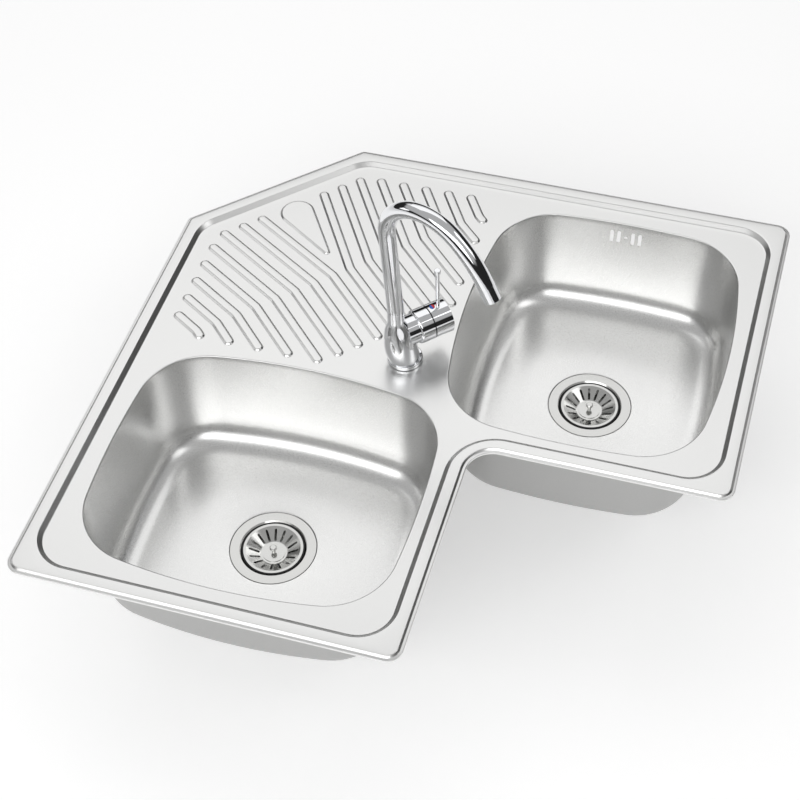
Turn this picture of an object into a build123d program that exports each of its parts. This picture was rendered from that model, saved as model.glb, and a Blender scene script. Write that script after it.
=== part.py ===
from build123d import *
import os
from math import atan, cos, degrees, radians, sin, sqrt, tan

# Inset corner kitchen sink: an L-shaped stainless top with two deep bowls, fanned drainer
# ribs and a swan-neck mixer tap. Lengths are millimetres and angles are degrees.
# The origin is on the tap's axis at worktop level, +Z is up, +X runs to the right along the
# back wall. The top is a mirror image of itself about the diagonal that runs from the corner
# of the room, through the tap, to the inner corner of the L.

os.makedirs("parts", exist_ok=True)

# --- Top: plan -------------------------------------------------------------------------
SIDE = 830.0  # along each wall
LEG = 500.0  # depth of each leg from its wall
CHAMFER = 200.0  # cut from the corner of the room, along each wall
TAP_FROM_INNER = 126.5  # tap axis back from the inner corner of the L, along each wall
CORNER_R = 20.0
CHAMFER_R = 8.0
INNER_R = 35.0

# --- Top: section ----------------------------------------------------------------------
SHEET = 1.0
LIP_HEIGHT = 2.2
LIP_RUN = 0.6
STEP_INSET = 3.5
STEP_RUN = 3.0
RIM_HEIGHT = 5.0
RIM_WIDTH = 20.0  # outer edge to the start of the slope
SLOPE_RUN = 6.0
PAN_LEVEL = -1.0
PAN_CORNER_R = 50.0
PAN_INNER_R = 60.0

# --- Drainer ---------------------------------------------------------------------------
RIB_COUNT = 8  # in each family
RIB_WIDTH = 15.5
RIB_RISE = 2.8
RIB_SLOPE = 3.0
RIB_START = 13.3  # diagonal to the first rib's centre line
RIB_PITCH = 29.6
RIB_SPLAY = 31.5  # between the wall and a rib's upper stretch
KINK_FROM_ROOM = 344.4  # along the diagonal, from the corner of the room
RIB_TOP_FROM_ROOM = 193.5  # row of upper ends that runs beside the chamfer
RIB_WALL_GAP = 54.0  # wall edge to the other upper ends
RIB_MOUTH_GAP = 20.6  # bowl mouth to the row of lower ends
RIB_TAP_GAP = 53.0  # tap axis to the lower end of the first rib
DROP_FROM_ROOM = 207.0  # middle of the teardrop panel's wide end, along the diagonal
DROP_LENGTH = 92.0  # from there to the middle of its tip
DROP_R = 25.0
DROP_TIP_R = 5.5

# --- Bowls -----------------------------------------------------------------------------
MOUTH_BACK_GAP = 50.1  # wall edge to the near end of the mouth
MOUTH_FRONT_GAP = 40.9  # front of the leg to the mouth's other end
MOUTH_END_GAP = 45.2  # end of the leg to the mouth's side
MOUTH_OVERLAP = 73.2  # mouth's other side back from the inner corner of the L
MOUTH_R = 88.0
LONG_BOW = 22.8  # middle of a long side beyond its corners
SHORT_BOW = 11.1
BOWL_DEPTH = 157.0  # pan to the edge of the floor
BOWL_DRAW = 9.0  # each side leans in over the depth
FLOOR_R = 32.0
FLOOR_FALL = 4.0
FALL_MARGIN = 10.0  # flat floor between the fillet and the start of the fall
SEAM = 0.4  # the bowl stands back from the edge of its mouth
WELD_FLANGE = 3.0
SLOT_WIDTH = 4.8
SLOT_HEIGHT = 22.0
SLOT_PITCH = 10.1
SLOT_DROP = 26.0  # middle of the overflow slots below the pan
OVERFLOW_SCREW_R = 2.5

# --- Basket waste ----------------------------------------------------------------------
RECESS_R = 58.5
RECESS_DEPTH = 2.5
FLANGE_R = 57.5
FLANGE_GAUGE = 1.2
CUP_R = 40.0
SEAT_RUN = 5.0  # width of the dish round the cup; the hole in the bowl is as wide as both
CUP_DEPTH = 36.0
SEAT_FALL = 5.0
GASKET_UPPER = 1.1
GASKET_LOWER = 2.0
BODY_WALL = 3.0
BODY_GAP = 2.8  # round the cup
BODY_RIM = 3.0
OUTLET_R = 23.9
OUTLET_BORE_R = 20.4
OUTLET_LENGTH = 25.0
FUNNEL_HEIGHT = 20.0
WASTE_SCREW_R = 2.9
WASTE_SCREW_HEAD_R = 5.5
WASTE_SCREW_HEAD = 3.0
DRAIN_HOLES = 8
DRAIN_HOLE_R = 6.0
BASKET_BRIM = 3.5  # width of its flat brim; the basket is as wide as the cup
BASKET_GAUGE = 1.0
BASKET_DEPTH = 10.7
BASKET_FLOOR_R = 18.0
BASKET_SLOTS = 16
BASKET_SLOT_TURN = 13.0  # first slot, from +X
BASKET_SLOT_WIDTH = 3.2
SEAT_GAP = 0.3  # between the seal and the dish
SEAL_HEIGHT = 3.0
DISC_R = 15.0
KNOB_R = 4.7
KNOB_HEIGHT = 4.0
KNOB_POST_R = 2.5
KNOB_STAND = 9.0

# --- Fixings under the rim -------------------------------------------------------------
FOAM_INSET = 8.0
FOAM_WIDTH = 9.0
CLIP_INSET = 28.5  # outer edge of the top to the back of the bracket
CLIP_DEPTH = 8.5
CLIP_WIDTH = 18.0
CLIP_GAUGE = 1.5
CLIP_DROP = 20.0
CLAW_GAUGE = 2.5
CLAW_REACH = 24.0  # beyond its screw
CLAW_HEEL = 4.0
CLAW_WIDTH = 12.0
CLIP_SCREW_R = 2.0
CLIP_HEAD_R = 3.5
CLIP_HEAD = 3.0
CLIP_SCREW_LENGTH = 18.0
CLIP_CLEARANCE = 0.3
CLIP_FROM_CORNER = 200.0  # along the back wall, beyond the chamfered corner
CLIP_FROM_FRONT = 70.0  # on the end of the leg, back from its front
CLIP_FROM_END = 60.0  # on the front of the leg, in from its end

# --- Tap body --------------------------------------------------------------------------
TAP_HOLE_R = 17.5
BASE_R = 23.5
BASE_HEIGHT = 5.0
BASE_ROUND = 1.5
BASE_SEAL = 1.0
FOOT_R = 20.8
FOOT_OFFSET = 1.5  # body's middle behind the tap's axis, here and below
SWELL_R = 22.2
SWELL_HEIGHT = 14.0
SWELL_OFFSET = 3.5
BELLY_R = 22.3
BELLY_HEIGHT = 27.0
BELLY_OFFSET = 5.5
WAIST_R = 20.7
WAIST_HEIGHT = 44.5
WAIST_OFFSET = 7.0
SHOULDER_R = 17.1
SHOULDER_HEIGHT = 60.0
SHOULDER_OFFSET = 9.0
THROAT_R = 13.0
THROAT_HEIGHT = 71.5
THROAT_OFFSET = 10.5
NECK_HEIGHT = 79.0
RISER_OFFSET = 11.0  # spout axis behind the tap's axis, away from the handle
COLLAR_R = 11.3
COLLAR_TOP = 99.0
COLLAR_ROUND = 0.6
SHANK_R = 16.0
SHANK_BORE_R = 13.5
SHANK_LENGTH = 62.0
INLET_R = 4.6
INLET_OFFSET = 6.5
INLET_DEPTH = 12.0
PLATE_R = 27.0
PLATE_GAUGE = 2.0
WASHER_HEIGHT = 3.0
NUT_R = 23.0
NUT_HEIGHT = 9.0
SHANK_GAP = 0.3

# --- Spout -----------------------------------------------------------------------------
SPOUT_AZIMUTH = -22.0  # rest position, from +X
SPOUT_R = 11.0
SPOUT_WALL = 1.5
SPIGOT_R = 9.0
SPIGOT_LENGTH = 27.0
SPIGOT_CLEARANCE = 0.06
SWIVEL_GAP = 0.3
FOOT_BEND_R = 70.0
LEAN = 3.7  # the riser leans back
RISER_LENGTH = 126.0
ARCH_1_R = 61.0
ARCH_1_TURN = 79.0
ARCH_2_R = 72.0
ARCH_2_TURN = 50.5
ARCH_3_R = 164.0
ARCH_3_TURN = 24.0
AERATOR_R = 11.0
AERATOR_LENGTH = 20.0
AERATOR_WALL = 1.5
AERATOR_ROUND = 0.4
INSERT_HEIGHT = 6.0
INSERT_SETBACK = 1.5
INSERT_HOLES = 8
INSERT_HOLE_R = 1.4

# --- Mixer -----------------------------------------------------------------------------
BARREL_HEIGHT = 50.0  # barrel axis above the worktop
BARREL_R = 23.0
BARREL_START = 16.0  # from the tap's axis
BARREL_END = 35.5
BARREL_ROUND = 3.0
ARM_R = 20.0  # joins the barrel to the body
CARTRIDGE_R = 17.5
CARTRIDGE_START = -2.0
CARTRIDGE_END = 31.0
CARTRIDGE_WALL = 2.5
CARTRIDGE_GAP = 0.05
ROTOR_LENGTH = 18.0
BALL_AT = 20.0  # point about which the lever tilts, from the tap's axis
BALL_R = 5.0
STEM_R = 3.5
STEM_GAP = 0.3
TILT = 20.0
NUT_LENGTH = 3.5
NUT_BORE_R = 13.0
TRIM_R = 21.8
TRIM_END = 37.0
CAP_START = 37.2
CAP_END = 63.0
CAP_DOME = 3.0
CAP_WALL = 0.9
CAP_HOLLOW = 8.5
CAP_SHELF = 3.6  # wall at the bottom of the hollow
PIN_R = 2.75
PIN_AT = 51.0
PIN_TOP = 139.0
PIN_ROOT = 8.0  # set into the cap
PIN_HEAD_R = 4.25
PIN_HEAD = 5.5
PIN_ROUND = 0.8
BUTTON_R = 3.65
BUTTON_AT = 43.7
BUTTON_ANGLE = 84.0  # round the cap, from the side that faces the bowls
BUTTON_DEPTH = 0.5
BUTTON_PROUD = 0.5
GRUB_R = 2.0
GRUB_LENGTH = 5.0

# --- Worked out ------------------------------------------------------------------------
ROOT_2 = sqrt(2)
TAP_INSET = LEG - TAP_FROM_INNER  # tap axis from each wall edge
ROOM = Vector(-TAP_INSET, TAP_INSET, 0)  # where the two wall edges would meet
DIAGONAL = Plane(origin=(0, 0, 0), x_dir=(1, -1, 0), z_dir=(1, 1, 0))
LIP_TAPER = degrees(atan(LIP_RUN / LIP_HEIGHT))
STEP_TAPER = degrees(atan(STEP_RUN / (RIM_HEIGHT - LIP_HEIGHT)))
SLOPE_HEIGHT = RIM_HEIGHT - PAN_LEVEL
SLOPE_TAPER = degrees(atan(SLOPE_RUN / SLOPE_HEIGHT))
RIB_TAPER = degrees(atan(RIB_SLOPE / RIB_RISE))
BOWL_TAPER = degrees(atan(BOWL_DRAW / BOWL_DEPTH))
PAN_UNDERSIDE = PAN_LEVEL - SHEET
DRAIN_LEVEL = PAN_LEVEL - BOWL_DEPTH - FLOOR_FALL
RECESS_LEVEL = DRAIN_LEVEL - RECESS_DEPTH
HALF_SPREAD = 45.0 - RIB_SPLAY
TAP_ALONG = TAP_INSET * ROOT_2  # corner of the room to the tap's axis
MOUTH_LENGTH = LEG - MOUTH_BACK_GAP - MOUTH_FRONT_GAP
MOUTH_WIDTH = SIDE - LEG + MOUTH_OVERLAP - MOUTH_END_GAP
BOWL_FROM_WALL = MOUTH_BACK_GAP + MOUTH_LENGTH / 2
BOWL_FROM_FAR_WALL = SIDE - MOUTH_END_GAP - MOUTH_WIDTH / 2
FALL_R = MOUTH_WIDTH / 2 - BOWL_DRAW - FLOOR_R - FALL_MARGIN
SEAT_R = CUP_R + SEAT_RUN


def place(from_left, from_back):
    """Point of the plan at these distances from the left and back wall edges."""
    return Vector(from_left - TAP_INSET, TAP_INSET - from_back, 0)


def on_diagonal(from_room, across):
    """Point this far down the diagonal and this far to its left, looking at the room's corner."""
    shift = Vector(-1, -1, 0) * (across / ROOT_2)
    return ROOM + Vector(1, -1, 0) * (from_room / ROOT_2) + shift


def mirrored(point):
    """The same point on the other side of the diagonal."""
    return Vector(-point.Y, -point.X, point.Z)


def drawn_in(skin, taper):
    """How far an edge moves when a slope and the flat below it are both offset by skin."""
    return skin * tan(radians(90 - taper) / 2)


LEFT_BOWL = Plane(origin=place(BOWL_FROM_WALL, BOWL_FROM_FAR_WALL), x_dir=(1, 0, 0), z_dir=(0, 0, 1))
RIGHT_BOWL = Plane(origin=place(BOWL_FROM_FAR_WALL, BOWL_FROM_WALL), x_dir=(0, 1, 0), z_dir=(0, 0, 1))


# --- Deck ------------------------------------------------------------------------------
def top_outline(inset, level, convex_r, chamfer_r, inner_r):
    """L-shaped plan of the top, drawn in by inset, as a face at the given level."""
    far = SIDE - inset
    leg = LEG - inset
    cut = CHAMFER + (ROOT_2 - 1) * inset
    corners = [
        (place(inset, cut), chamfer_r),
        (place(inset, far), convex_r),
        (place(leg, far), convex_r),
        (place(leg, leg), inner_r),
        (place(far, leg), convex_r),
        (place(far, inset), convex_r),
        (place(cut, inset), chamfer_r),
    ]
    with BuildSketch(Plane.XY.offset(level)) as plan:
        with BuildLine():
            Polyline(*[corner for corner, _ in corners], close=True)
        make_face()
        for corner, radius in corners:
            fillet(plan.vertices().sort_by_distance(corner)[0], radius=radius)
    return plan.sketch


def press_rim(skin, mode):
    """Lip and raised rim; skin is 0 for the upper face and the sheet for the lower one."""
    lip = top_outline(skin, 0, CORNER_R - skin, CHAMFER_R, INNER_R + skin)
    extrude(lip, amount=LIP_HEIGHT - skin, taper=LIP_TAPER, mode=mode)
    inset = STEP_INSET + drawn_in(skin, STEP_TAPER)
    step = top_outline(inset, LIP_HEIGHT - skin, CORNER_R - STEP_INSET, CHAMFER_R, INNER_R + STEP_INSET)
    extrude(step, amount=RIM_HEIGHT - LIP_HEIGHT, taper=STEP_TAPER, mode=mode)


def press_pan(skin, mode):
    """Sloping recess inside the rim."""
    inset = RIM_WIDTH - drawn_in(skin, SLOPE_TAPER)
    brink = top_outline(inset, RIM_HEIGHT - skin, PAN_CORNER_R, PAN_CORNER_R, PAN_INNER_R)
    extrude(brink, amount=SLOPE_HEIGHT, dir=(0, 0, -1), taper=SLOPE_TAPER, mode=mode)


def rib_line(index):
    """Upper end, kink and lower end of one left-hand rib's centre line."""
    kink = on_diagonal(KINK_FROM_ROOM, RIB_START + index * RIB_PITCH)
    upward = Vector(-cos(radians(RIB_SPLAY)), sin(radians(RIB_SPLAY)), 0)
    to_wall = (kink.X - ROOM.X - RIB_WALL_GAP) / cos(radians(RIB_SPLAY))
    to_chamfer = (KINK_FROM_ROOM - RIB_TOP_FROM_ROOM) / cos(radians(HALF_SPREAD))
    mouth = BOWL_FROM_FAR_WALL - MOUTH_WIDTH / 2
    to_mouth = (kink.Y - ROOM.Y + mouth - RIB_MOUTH_GAP) * ROOT_2
    to_tap = TAP_ALONG - RIB_TAP_GAP - KINK_FROM_ROOM
    top = kink + upward * min(to_wall, to_chamfer)
    return top, kink, kink + Vector(1, -1, 0) * (min(to_mouth, to_tap) / ROOT_2)


def press_rib(start, end, skin):
    """One straight stretch of a rib as a round-ended ridge."""
    length = (end - start).length
    middle = (start + end) / 2 + Vector(0, 0, PAN_LEVEL - skin)
    width = RIB_WIDTH - 2 * drawn_in(skin, RIB_TAPER)
    with BuildSketch(Plane(origin=middle, x_dir=end - start, z_dir=(0, 0, 1))) as stretch:
        SlotCenterToCenter(length, width)
    extrude(stretch.sketch, amount=RIB_RISE, taper=RIB_TAPER)


def press_teardrop(skin):
    """Raised panel between the two families of ribs."""
    margin = drawn_in(skin, RIB_TAPER)
    with BuildSketch(Plane.XY.offset(PAN_LEVEL - skin)) as drop:
        with Locations(on_diagonal(DROP_FROM_ROOM, 0)):
            Circle(DROP_R - margin)
        with Locations(on_diagonal(DROP_FROM_ROOM + DROP_LENGTH, 0)):
            Circle(DROP_TIP_R - margin)
        make_hull()
    extrude(drop.sketch, amount=RIB_RISE, taper=RIB_TAPER)


def drainer(skin):
    """All the raised forms of the drainer as one body."""
    with BuildPart() as raised:
        for index in range(RIB_COUNT):
            top, kink, bottom = rib_line(index)
            press_rib(top, kink, skin)
            press_rib(kink, bottom, skin)
        mirror(about=DIAGONAL)
        press_teardrop(skin)
    return raised.part


def mouth_outline(plane, grow):
    """Bowed rectangle with round corners, let out by grow."""
    half_length = MOUTH_LENGTH / 2 + grow
    half_width = MOUTH_WIDTH / 2 + grow
    x = half_length - SHORT_BOW
    y = half_width - LONG_BOW
    with BuildSketch(plane) as mouth:
        with BuildLine():
            ThreePointArc((-x, -y), (0, -half_width), (x, -y))
            ThreePointArc((x, -y), (half_length, 0), (x, y))
            ThreePointArc((x, y), (0, half_width), (-x, y))
            ThreePointArc((-x, y), (-half_length, 0), (-x, -y))
        make_face()
        fillet(mouth.vertices(), radius=MOUTH_R + grow)
    return mouth.sketch


with BuildPart() as deck:
    press_rim(0, Mode.ADD)
    press_rim(SHEET, Mode.SUBTRACT)
    press_pan(SHEET, Mode.ADD)
    press_pan(0, Mode.SUBTRACT)
    add(drainer(0))
    add(drainer(SHEET), mode=Mode.SUBTRACT)
    for bowl_plane in (LEFT_BOWL, RIGHT_BOWL):
        extrude(mouth_outline(bowl_plane, 0), amount=2 * SLOPE_HEIGHT, both=True, mode=Mode.SUBTRACT)
    with BuildSketch(Plane.XY.offset(PAN_LEVEL)):
        Circle(TAP_HOLE_R)
    extrude(amount=SHEET, both=True, mode=Mode.SUBTRACT)
deck.part.label = "deck"
export_step(deck.part, "parts/deck.step")


# --- Bowls -----------------------------------------------------------------------------
def bowl_form(plane, skin):
    """Everything inside the bowl's inner face, or inside its outer face at skin's thickness."""
    brim = mouth_outline(plane.offset(PAN_UNDERSIDE), SEAM + skin)
    with BuildPart() as form:
        extrude(brim, amount=BOWL_DEPTH - SHEET + skin, dir=(0, 0, -1), taper=BOWL_TAPER)
        fillet(form.edges().group_by(Axis.Z)[0], radius=FLOOR_R + skin)
        floor = PAN_LEVEL - BOWL_DEPTH - skin
        with BuildSketch(Plane(origin=plane.origin, x_dir=(1, 0, 0), z_dir=(0, -1, 0))):
            with BuildLine():
                level = Line((0, floor), (FALL_R, floor))
                fall = TangentArc(level @ 1, (RECESS_R + skin, floor - FLOOR_FALL), tangent=(-1, 0))
                Polyline(
                    fall @ 1,
                    (RECESS_R + skin, floor - FLOOR_FALL - RECESS_DEPTH),
                    (0, floor - FLOOR_FALL - RECESS_DEPTH),
                    level @ 0,
                )
            make_face()
        revolve(axis=Axis(plane.origin, (0, 0, 1)))
    return form.part


def press_bowl(plane, outside, inside):
    """Bowl with its welding flange and waste hole."""
    extrude(mouth_outline(plane.offset(PAN_UNDERSIDE), WELD_FLANGE), amount=-SHEET)
    add(outside)
    add(inside, mode=Mode.SUBTRACT)
    with BuildSketch(plane.offset(RECESS_LEVEL)) as hole:
        Circle(SEAT_R)
    extrude(hole.sketch, amount=2 * SHEET, both=True, mode=Mode.SUBTRACT)


left_outside = bowl_form(LEFT_BOWL, SHEET)
left_inside = bowl_form(LEFT_BOWL, 0)
with BuildPart() as bowl_left:
    press_bowl(LEFT_BOWL, left_outside, left_inside)
bowl_left.part.label = "bowl_left"
export_step(bowl_left.part, "parts/bowl_left.step")

right_outside = bowl_form(RIGHT_BOWL, SHEET)
right_inside = bowl_form(RIGHT_BOWL, 0)
overflow_face = Plane(
    origin=RIGHT_BOWL.origin + Vector(0, MOUTH_LENGTH / 2, PAN_LEVEL - SLOT_DROP),
    x_dir=(1, 0, 0),
    z_dir=(0, -1, 0),
)
with BuildPart() as bowl_right:
    press_bowl(RIGHT_BOWL, right_outside, right_inside)
    with BuildSketch(overflow_face):
        with Locations((-2 * SLOT_PITCH, 0), (-SLOT_PITCH, 0), (SLOT_PITCH, 0), (2 * SLOT_PITCH, 0)):
            SlotOverall(SLOT_HEIGHT, SLOT_WIDTH, rotation=90)
        Circle(OVERFLOW_SCREW_R)
    extrude(amount=BOWL_DRAW, both=True, mode=Mode.SUBTRACT)
bowl_right.part.label = "bowl_right"
export_step(bowl_right.part, "parts/bowl_right.step")

# --- Foam strip under the rim ----------------------------------------------------------
with BuildPart() as rim_seal:
    strip_inset = FOAM_INSET + FOAM_WIDTH
    strip_outside = top_outline(FOAM_INSET, 0, CORNER_R, CHAMFER_R, INNER_R + FOAM_INSET)
    strip_inside = top_outline(strip_inset, 0, CORNER_R, CHAMFER_R, PAN_INNER_R)
    extrude(strip_outside, amount=RIM_HEIGHT - SHEET)
    extrude(strip_inside, amount=RIM_HEIGHT - SHEET, mode=Mode.SUBTRACT)
rim_seal.part.label = "rim_seal"
export_step(rim_seal.part, "parts/rim_seal.step")

# --- Clamping clips --------------------------------------------------------------------
RIGHT_CLIPS = [
    (place(CHAMFER + CLIP_FROM_CORNER, CLIP_INSET), Vector(0, 1, 0)),
    (place(SIDE - CLIP_INSET, LEG - CLIP_FROM_FRONT), Vector(1, 0, 0)),
    (place(SIDE - CLIP_FROM_END, LEG - CLIP_INSET), Vector(0, -1, 0)),
]
LEFT_CLIPS = [(mirrored(point), mirrored(outward)) for point, outward in RIGHT_CLIPS]
FOOT_LEVEL = PAN_UNDERSIDE - CLIP_DROP
CLAW_LEVEL = FOOT_LEVEL - CLIP_GAUGE - CLAW_HEEL

for number, (point, outward) in enumerate(RIGHT_CLIPS + LEFT_CLIPS, start=1):
    # The bracket's section faces along the rim. The claw's is parked along the rim, the way
    # the clips come, and turns outward under the worktop when the sink is fitted.
    along_rim = outward.cross(Vector(0, 0, 1))
    screw_point = point - outward * (CLIP_DEPTH - CLIP_HEAD_R - CLIP_CLEARANCE)
    clip = Plane(origin=point, x_dir=outward, z_dir=along_rim)
    parked = Plane(origin=screw_point, x_dir=along_rim, z_dir=-outward)
    screw_axis = Plane(origin=screw_point + Vector(0, 0, CLAW_LEVEL - CLAW_GAUGE))

    with BuildPart() as clip_bracket:
        with BuildSketch(clip):
            with BuildLine():
                Polyline(
                    (-CLIP_DEPTH, PAN_UNDERSIDE),
                    (0, PAN_UNDERSIDE),
                    (0, FOOT_LEVEL - CLIP_GAUGE),
                    (-CLIP_DEPTH, FOOT_LEVEL - CLIP_GAUGE),
                    (-CLIP_DEPTH, FOOT_LEVEL),
                    (-CLIP_GAUGE, FOOT_LEVEL),
                    (-CLIP_GAUGE, PAN_UNDERSIDE - CLIP_GAUGE),
                    (-CLIP_DEPTH, PAN_UNDERSIDE - CLIP_GAUGE),
                    close=True,
                )
            make_face()
        extrude(amount=CLIP_WIDTH / 2, both=True)
        with BuildSketch(screw_axis):
            Circle(CLIP_SCREW_R)
        extrude(amount=CLIP_SCREW_LENGTH, mode=Mode.SUBTRACT)
    clip_bracket.part.label = f"clip_bracket_{number}"
    export_step(clip_bracket.part, f"parts/clip_bracket_{number}.step")

    with BuildPart() as clip_claw:
        with BuildSketch(parked):
            with BuildLine():
                Polyline(
                    (-CLIP_WIDTH / 2, CLAW_LEVEL - CLAW_GAUGE),
                    (CLAW_REACH, CLAW_LEVEL - CLAW_GAUGE),
                    (CLAW_REACH, CLAW_LEVEL + CLAW_HEEL),
                    (CLAW_REACH - CLAW_GAUGE, CLAW_LEVEL + CLAW_HEEL),
                    (CLAW_REACH - CLAW_GAUGE, CLAW_LEVEL),
                    (CLIP_GAUGE - CLIP_WIDTH / 2, CLAW_LEVEL),
                    (CLIP_GAUGE - CLIP_WIDTH / 2, CLAW_LEVEL + CLAW_HEEL),
                    (-CLIP_WIDTH / 2, CLAW_LEVEL + CLAW_HEEL),
                    close=True,
                )
            make_face()
        extrude(amount=CLAW_WIDTH / 2, both=True)
        with BuildSketch(screw_axis):
            Circle(CLIP_SCREW_R + CLIP_CLEARANCE)
        extrude(amount=CLAW_GAUGE, mode=Mode.SUBTRACT)
    clip_claw.part.label = f"clip_claw_{number}"
    export_step(clip_claw.part, f"parts/clip_claw_{number}.step")

    with BuildPart() as clip_screw:
        with BuildSketch(screw_axis):
            Circle(CLIP_SCREW_R)
        extrude(amount=CLIP_SCREW_LENGTH)
        with BuildSketch(screw_axis):
            Circle(CLIP_HEAD_R)
        extrude(amount=-CLIP_HEAD)
    clip_screw.part.label = f"clip_screw_{number}"
    export_step(clip_screw.part, f"parts/clip_screw_{number}.step")


# --- Basket wastes ---------------------------------------------------------------------
def turned(plane, *points):
    """Ring or disc turned about the plane's upright axis from its (radius, level) corners."""
    with BuildSketch(Plane(origin=plane.origin, x_dir=(1, 0, 0), z_dir=(0, -1, 0))) as section:
        with BuildLine():
            Polyline(*points, close=True)
        make_face()
    revolve(section.sketch, axis=Axis(plane.origin, (0, 0, 1)))


RIM_UNDER = RECESS_LEVEL + GASKET_UPPER
RIM_TOP = RIM_UNDER + FLANGE_GAUGE
SEAT_LEVEL = RIM_TOP - SEAT_FALL
BASKET_BRIM_R = CUP_R - BASKET_BRIM
CUP_FLOOR = RIM_TOP - CUP_DEPTH
SEAL_LEVEL = RIM_TOP - SEAT_FALL / 2
SEAL_R = (CUP_R + SEAT_R) / 2 - SEAT_GAP
BASKET_RIM = SEAL_LEVEL + SEAL_HEIGHT / 2
BASKET_FLOOR = BASKET_RIM - BASKET_DEPTH
BODY_TOP = RECESS_LEVEL - SHEET - GASKET_LOWER
BODY_R = CUP_R + FLANGE_GAUGE + BODY_GAP
CUP_UNDER = CUP_FLOOR - FLANGE_GAUGE
FUNNEL_END = CUP_UNDER - FUNNEL_HEIGHT
OUTLET_END = FUNNEL_END - OUTLET_LENGTH
BOSS_R = WASTE_SCREW_R + BODY_WALL

for side, bowl in (("left", LEFT_BOWL), ("right", RIGHT_BOWL)):
    with BuildPart() as waste_gasket_upper:
        turned(
            bowl,
            (SEAT_R, RECESS_LEVEL),
            (FLANGE_R, RECESS_LEVEL),
            (FLANGE_R, RIM_UNDER),
            (SEAT_R, RIM_UNDER),
        )
    waste_gasket_upper.part.label = f"waste_gasket_upper_{side}"
    export_step(waste_gasket_upper.part, f"parts/waste_gasket_upper_{side}.step")

    with BuildPart() as waste_flange:
        turned(
            bowl,
            (0, CUP_UNDER),
            (CUP_R + FLANGE_GAUGE, CUP_UNDER),
            (CUP_R + FLANGE_GAUGE, SEAT_LEVEL - FLANGE_GAUGE / 2),
            (SEAT_R, RIM_UNDER),
            (FLANGE_R, RIM_UNDER),
            (FLANGE_R, RIM_TOP),
            (SEAT_R, RIM_TOP),
            (CUP_R, SEAT_LEVEL),
            (CUP_R, CUP_FLOOR),
            (0, CUP_FLOOR),
        )
        with BuildSketch(bowl.offset(CUP_UNDER)):
            Circle(WASTE_SCREW_R + CLIP_CLEARANCE)
            with PolarLocations((CUP_R + BOSS_R) / 2, DRAIN_HOLES):
                Circle(DRAIN_HOLE_R)
        extrude(amount=FLANGE_GAUGE, mode=Mode.SUBTRACT)
    waste_flange.part.label = f"waste_flange_{side}"
    export_step(waste_flange.part, f"parts/waste_flange_{side}.step")

    with BuildPart() as waste_gasket_lower:
        turned(
            bowl,
            (SEAT_R, BODY_TOP),
            (FLANGE_R, BODY_TOP),
            (FLANGE_R, BODY_TOP + GASKET_LOWER),
            (SEAT_R, BODY_TOP + GASKET_LOWER),
        )
    waste_gasket_lower.part.label = f"waste_gasket_lower_{side}"
    export_step(waste_gasket_lower.part, f"parts/waste_gasket_lower_{side}.step")

    with BuildPart() as waste_body:
        turned(
            bowl,
            (BODY_R, BODY_TOP),
            (FLANGE_R, BODY_TOP),
            (FLANGE_R, BODY_TOP - BODY_RIM),
            (BODY_R + BODY_WALL, BODY_TOP - BODY_RIM),
            (BODY_R + BODY_WALL, CUP_UNDER),
            (OUTLET_R, FUNNEL_END),
            (OUTLET_R, OUTLET_END),
            (OUTLET_BORE_R, OUTLET_END),
            (OUTLET_BORE_R, FUNNEL_END),
            (BODY_R, CUP_UNDER),
        )
        with BuildSketch(bowl.offset(CUP_UNDER)):
            Circle(BOSS_R)
            with PolarLocations(0, 3):
                with Locations(((BODY_R + BODY_WALL / 2) / 2, 0)):
                    Rectangle(BODY_R + BODY_WALL / 2, BODY_WALL)
        extrude(amount=-2 * BODY_WALL)
        with BuildSketch(bowl.offset(CUP_UNDER)):
            Circle(WASTE_SCREW_R)
        extrude(amount=-FUNNEL_HEIGHT, mode=Mode.SUBTRACT)
    waste_body.part.label = f"waste_body_{side}"
    export_step(waste_body.part, f"parts/waste_body_{side}.step")

    with BuildPart() as waste_screw:
        turned(
            bowl,
            (0, CUP_UNDER - 2 * BODY_WALL),
            (WASTE_SCREW_R, CUP_UNDER - 2 * BODY_WALL),
            (WASTE_SCREW_R, CUP_FLOOR),
            (WASTE_SCREW_HEAD_R, CUP_FLOOR),
            (WASTE_SCREW_HEAD_R, CUP_FLOOR + WASTE_SCREW_HEAD),
            (0, CUP_FLOOR + WASTE_SCREW_HEAD),
        )
    waste_screw.part.label = f"waste_screw_{side}"
    export_step(waste_screw.part, f"parts/waste_screw_{side}.step")

    with BuildPart() as strainer_basket:
        turned(
            bowl,
            (KNOB_POST_R, BASKET_FLOOR),
            (BASKET_FLOOR_R, BASKET_FLOOR),
            (BASKET_BRIM_R, BASKET_RIM),
            (CUP_R, BASKET_RIM),
            (CUP_R, BASKET_RIM - BASKET_GAUGE),
            (BASKET_BRIM_R, BASKET_RIM - BASKET_GAUGE),
            (BASKET_FLOOR_R, BASKET_FLOOR - BASKET_GAUGE),
            (KNOB_POST_R, BASKET_FLOOR - BASKET_GAUGE),
        )
        slot_start = BASKET_FLOOR_R + BASKET_GAUGE
        slot_end = BASKET_BRIM_R - BASKET_SLOT_WIDTH
        with BuildSketch(bowl.offset(BASKET_FLOOR - BASKET_GAUGE)):
            with PolarLocations((slot_start + slot_end) / 2, BASKET_SLOTS, BASKET_SLOT_TURN):
                SlotOverall(slot_end - slot_start, BASKET_SLOT_WIDTH)
        extrude(amount=BASKET_DEPTH + BASKET_GAUGE, mode=Mode.SUBTRACT)
    strainer_basket.part.label = f"strainer_basket_{side}"
    export_step(strainer_basket.part, f"parts/strainer_basket_{side}.step")

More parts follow.
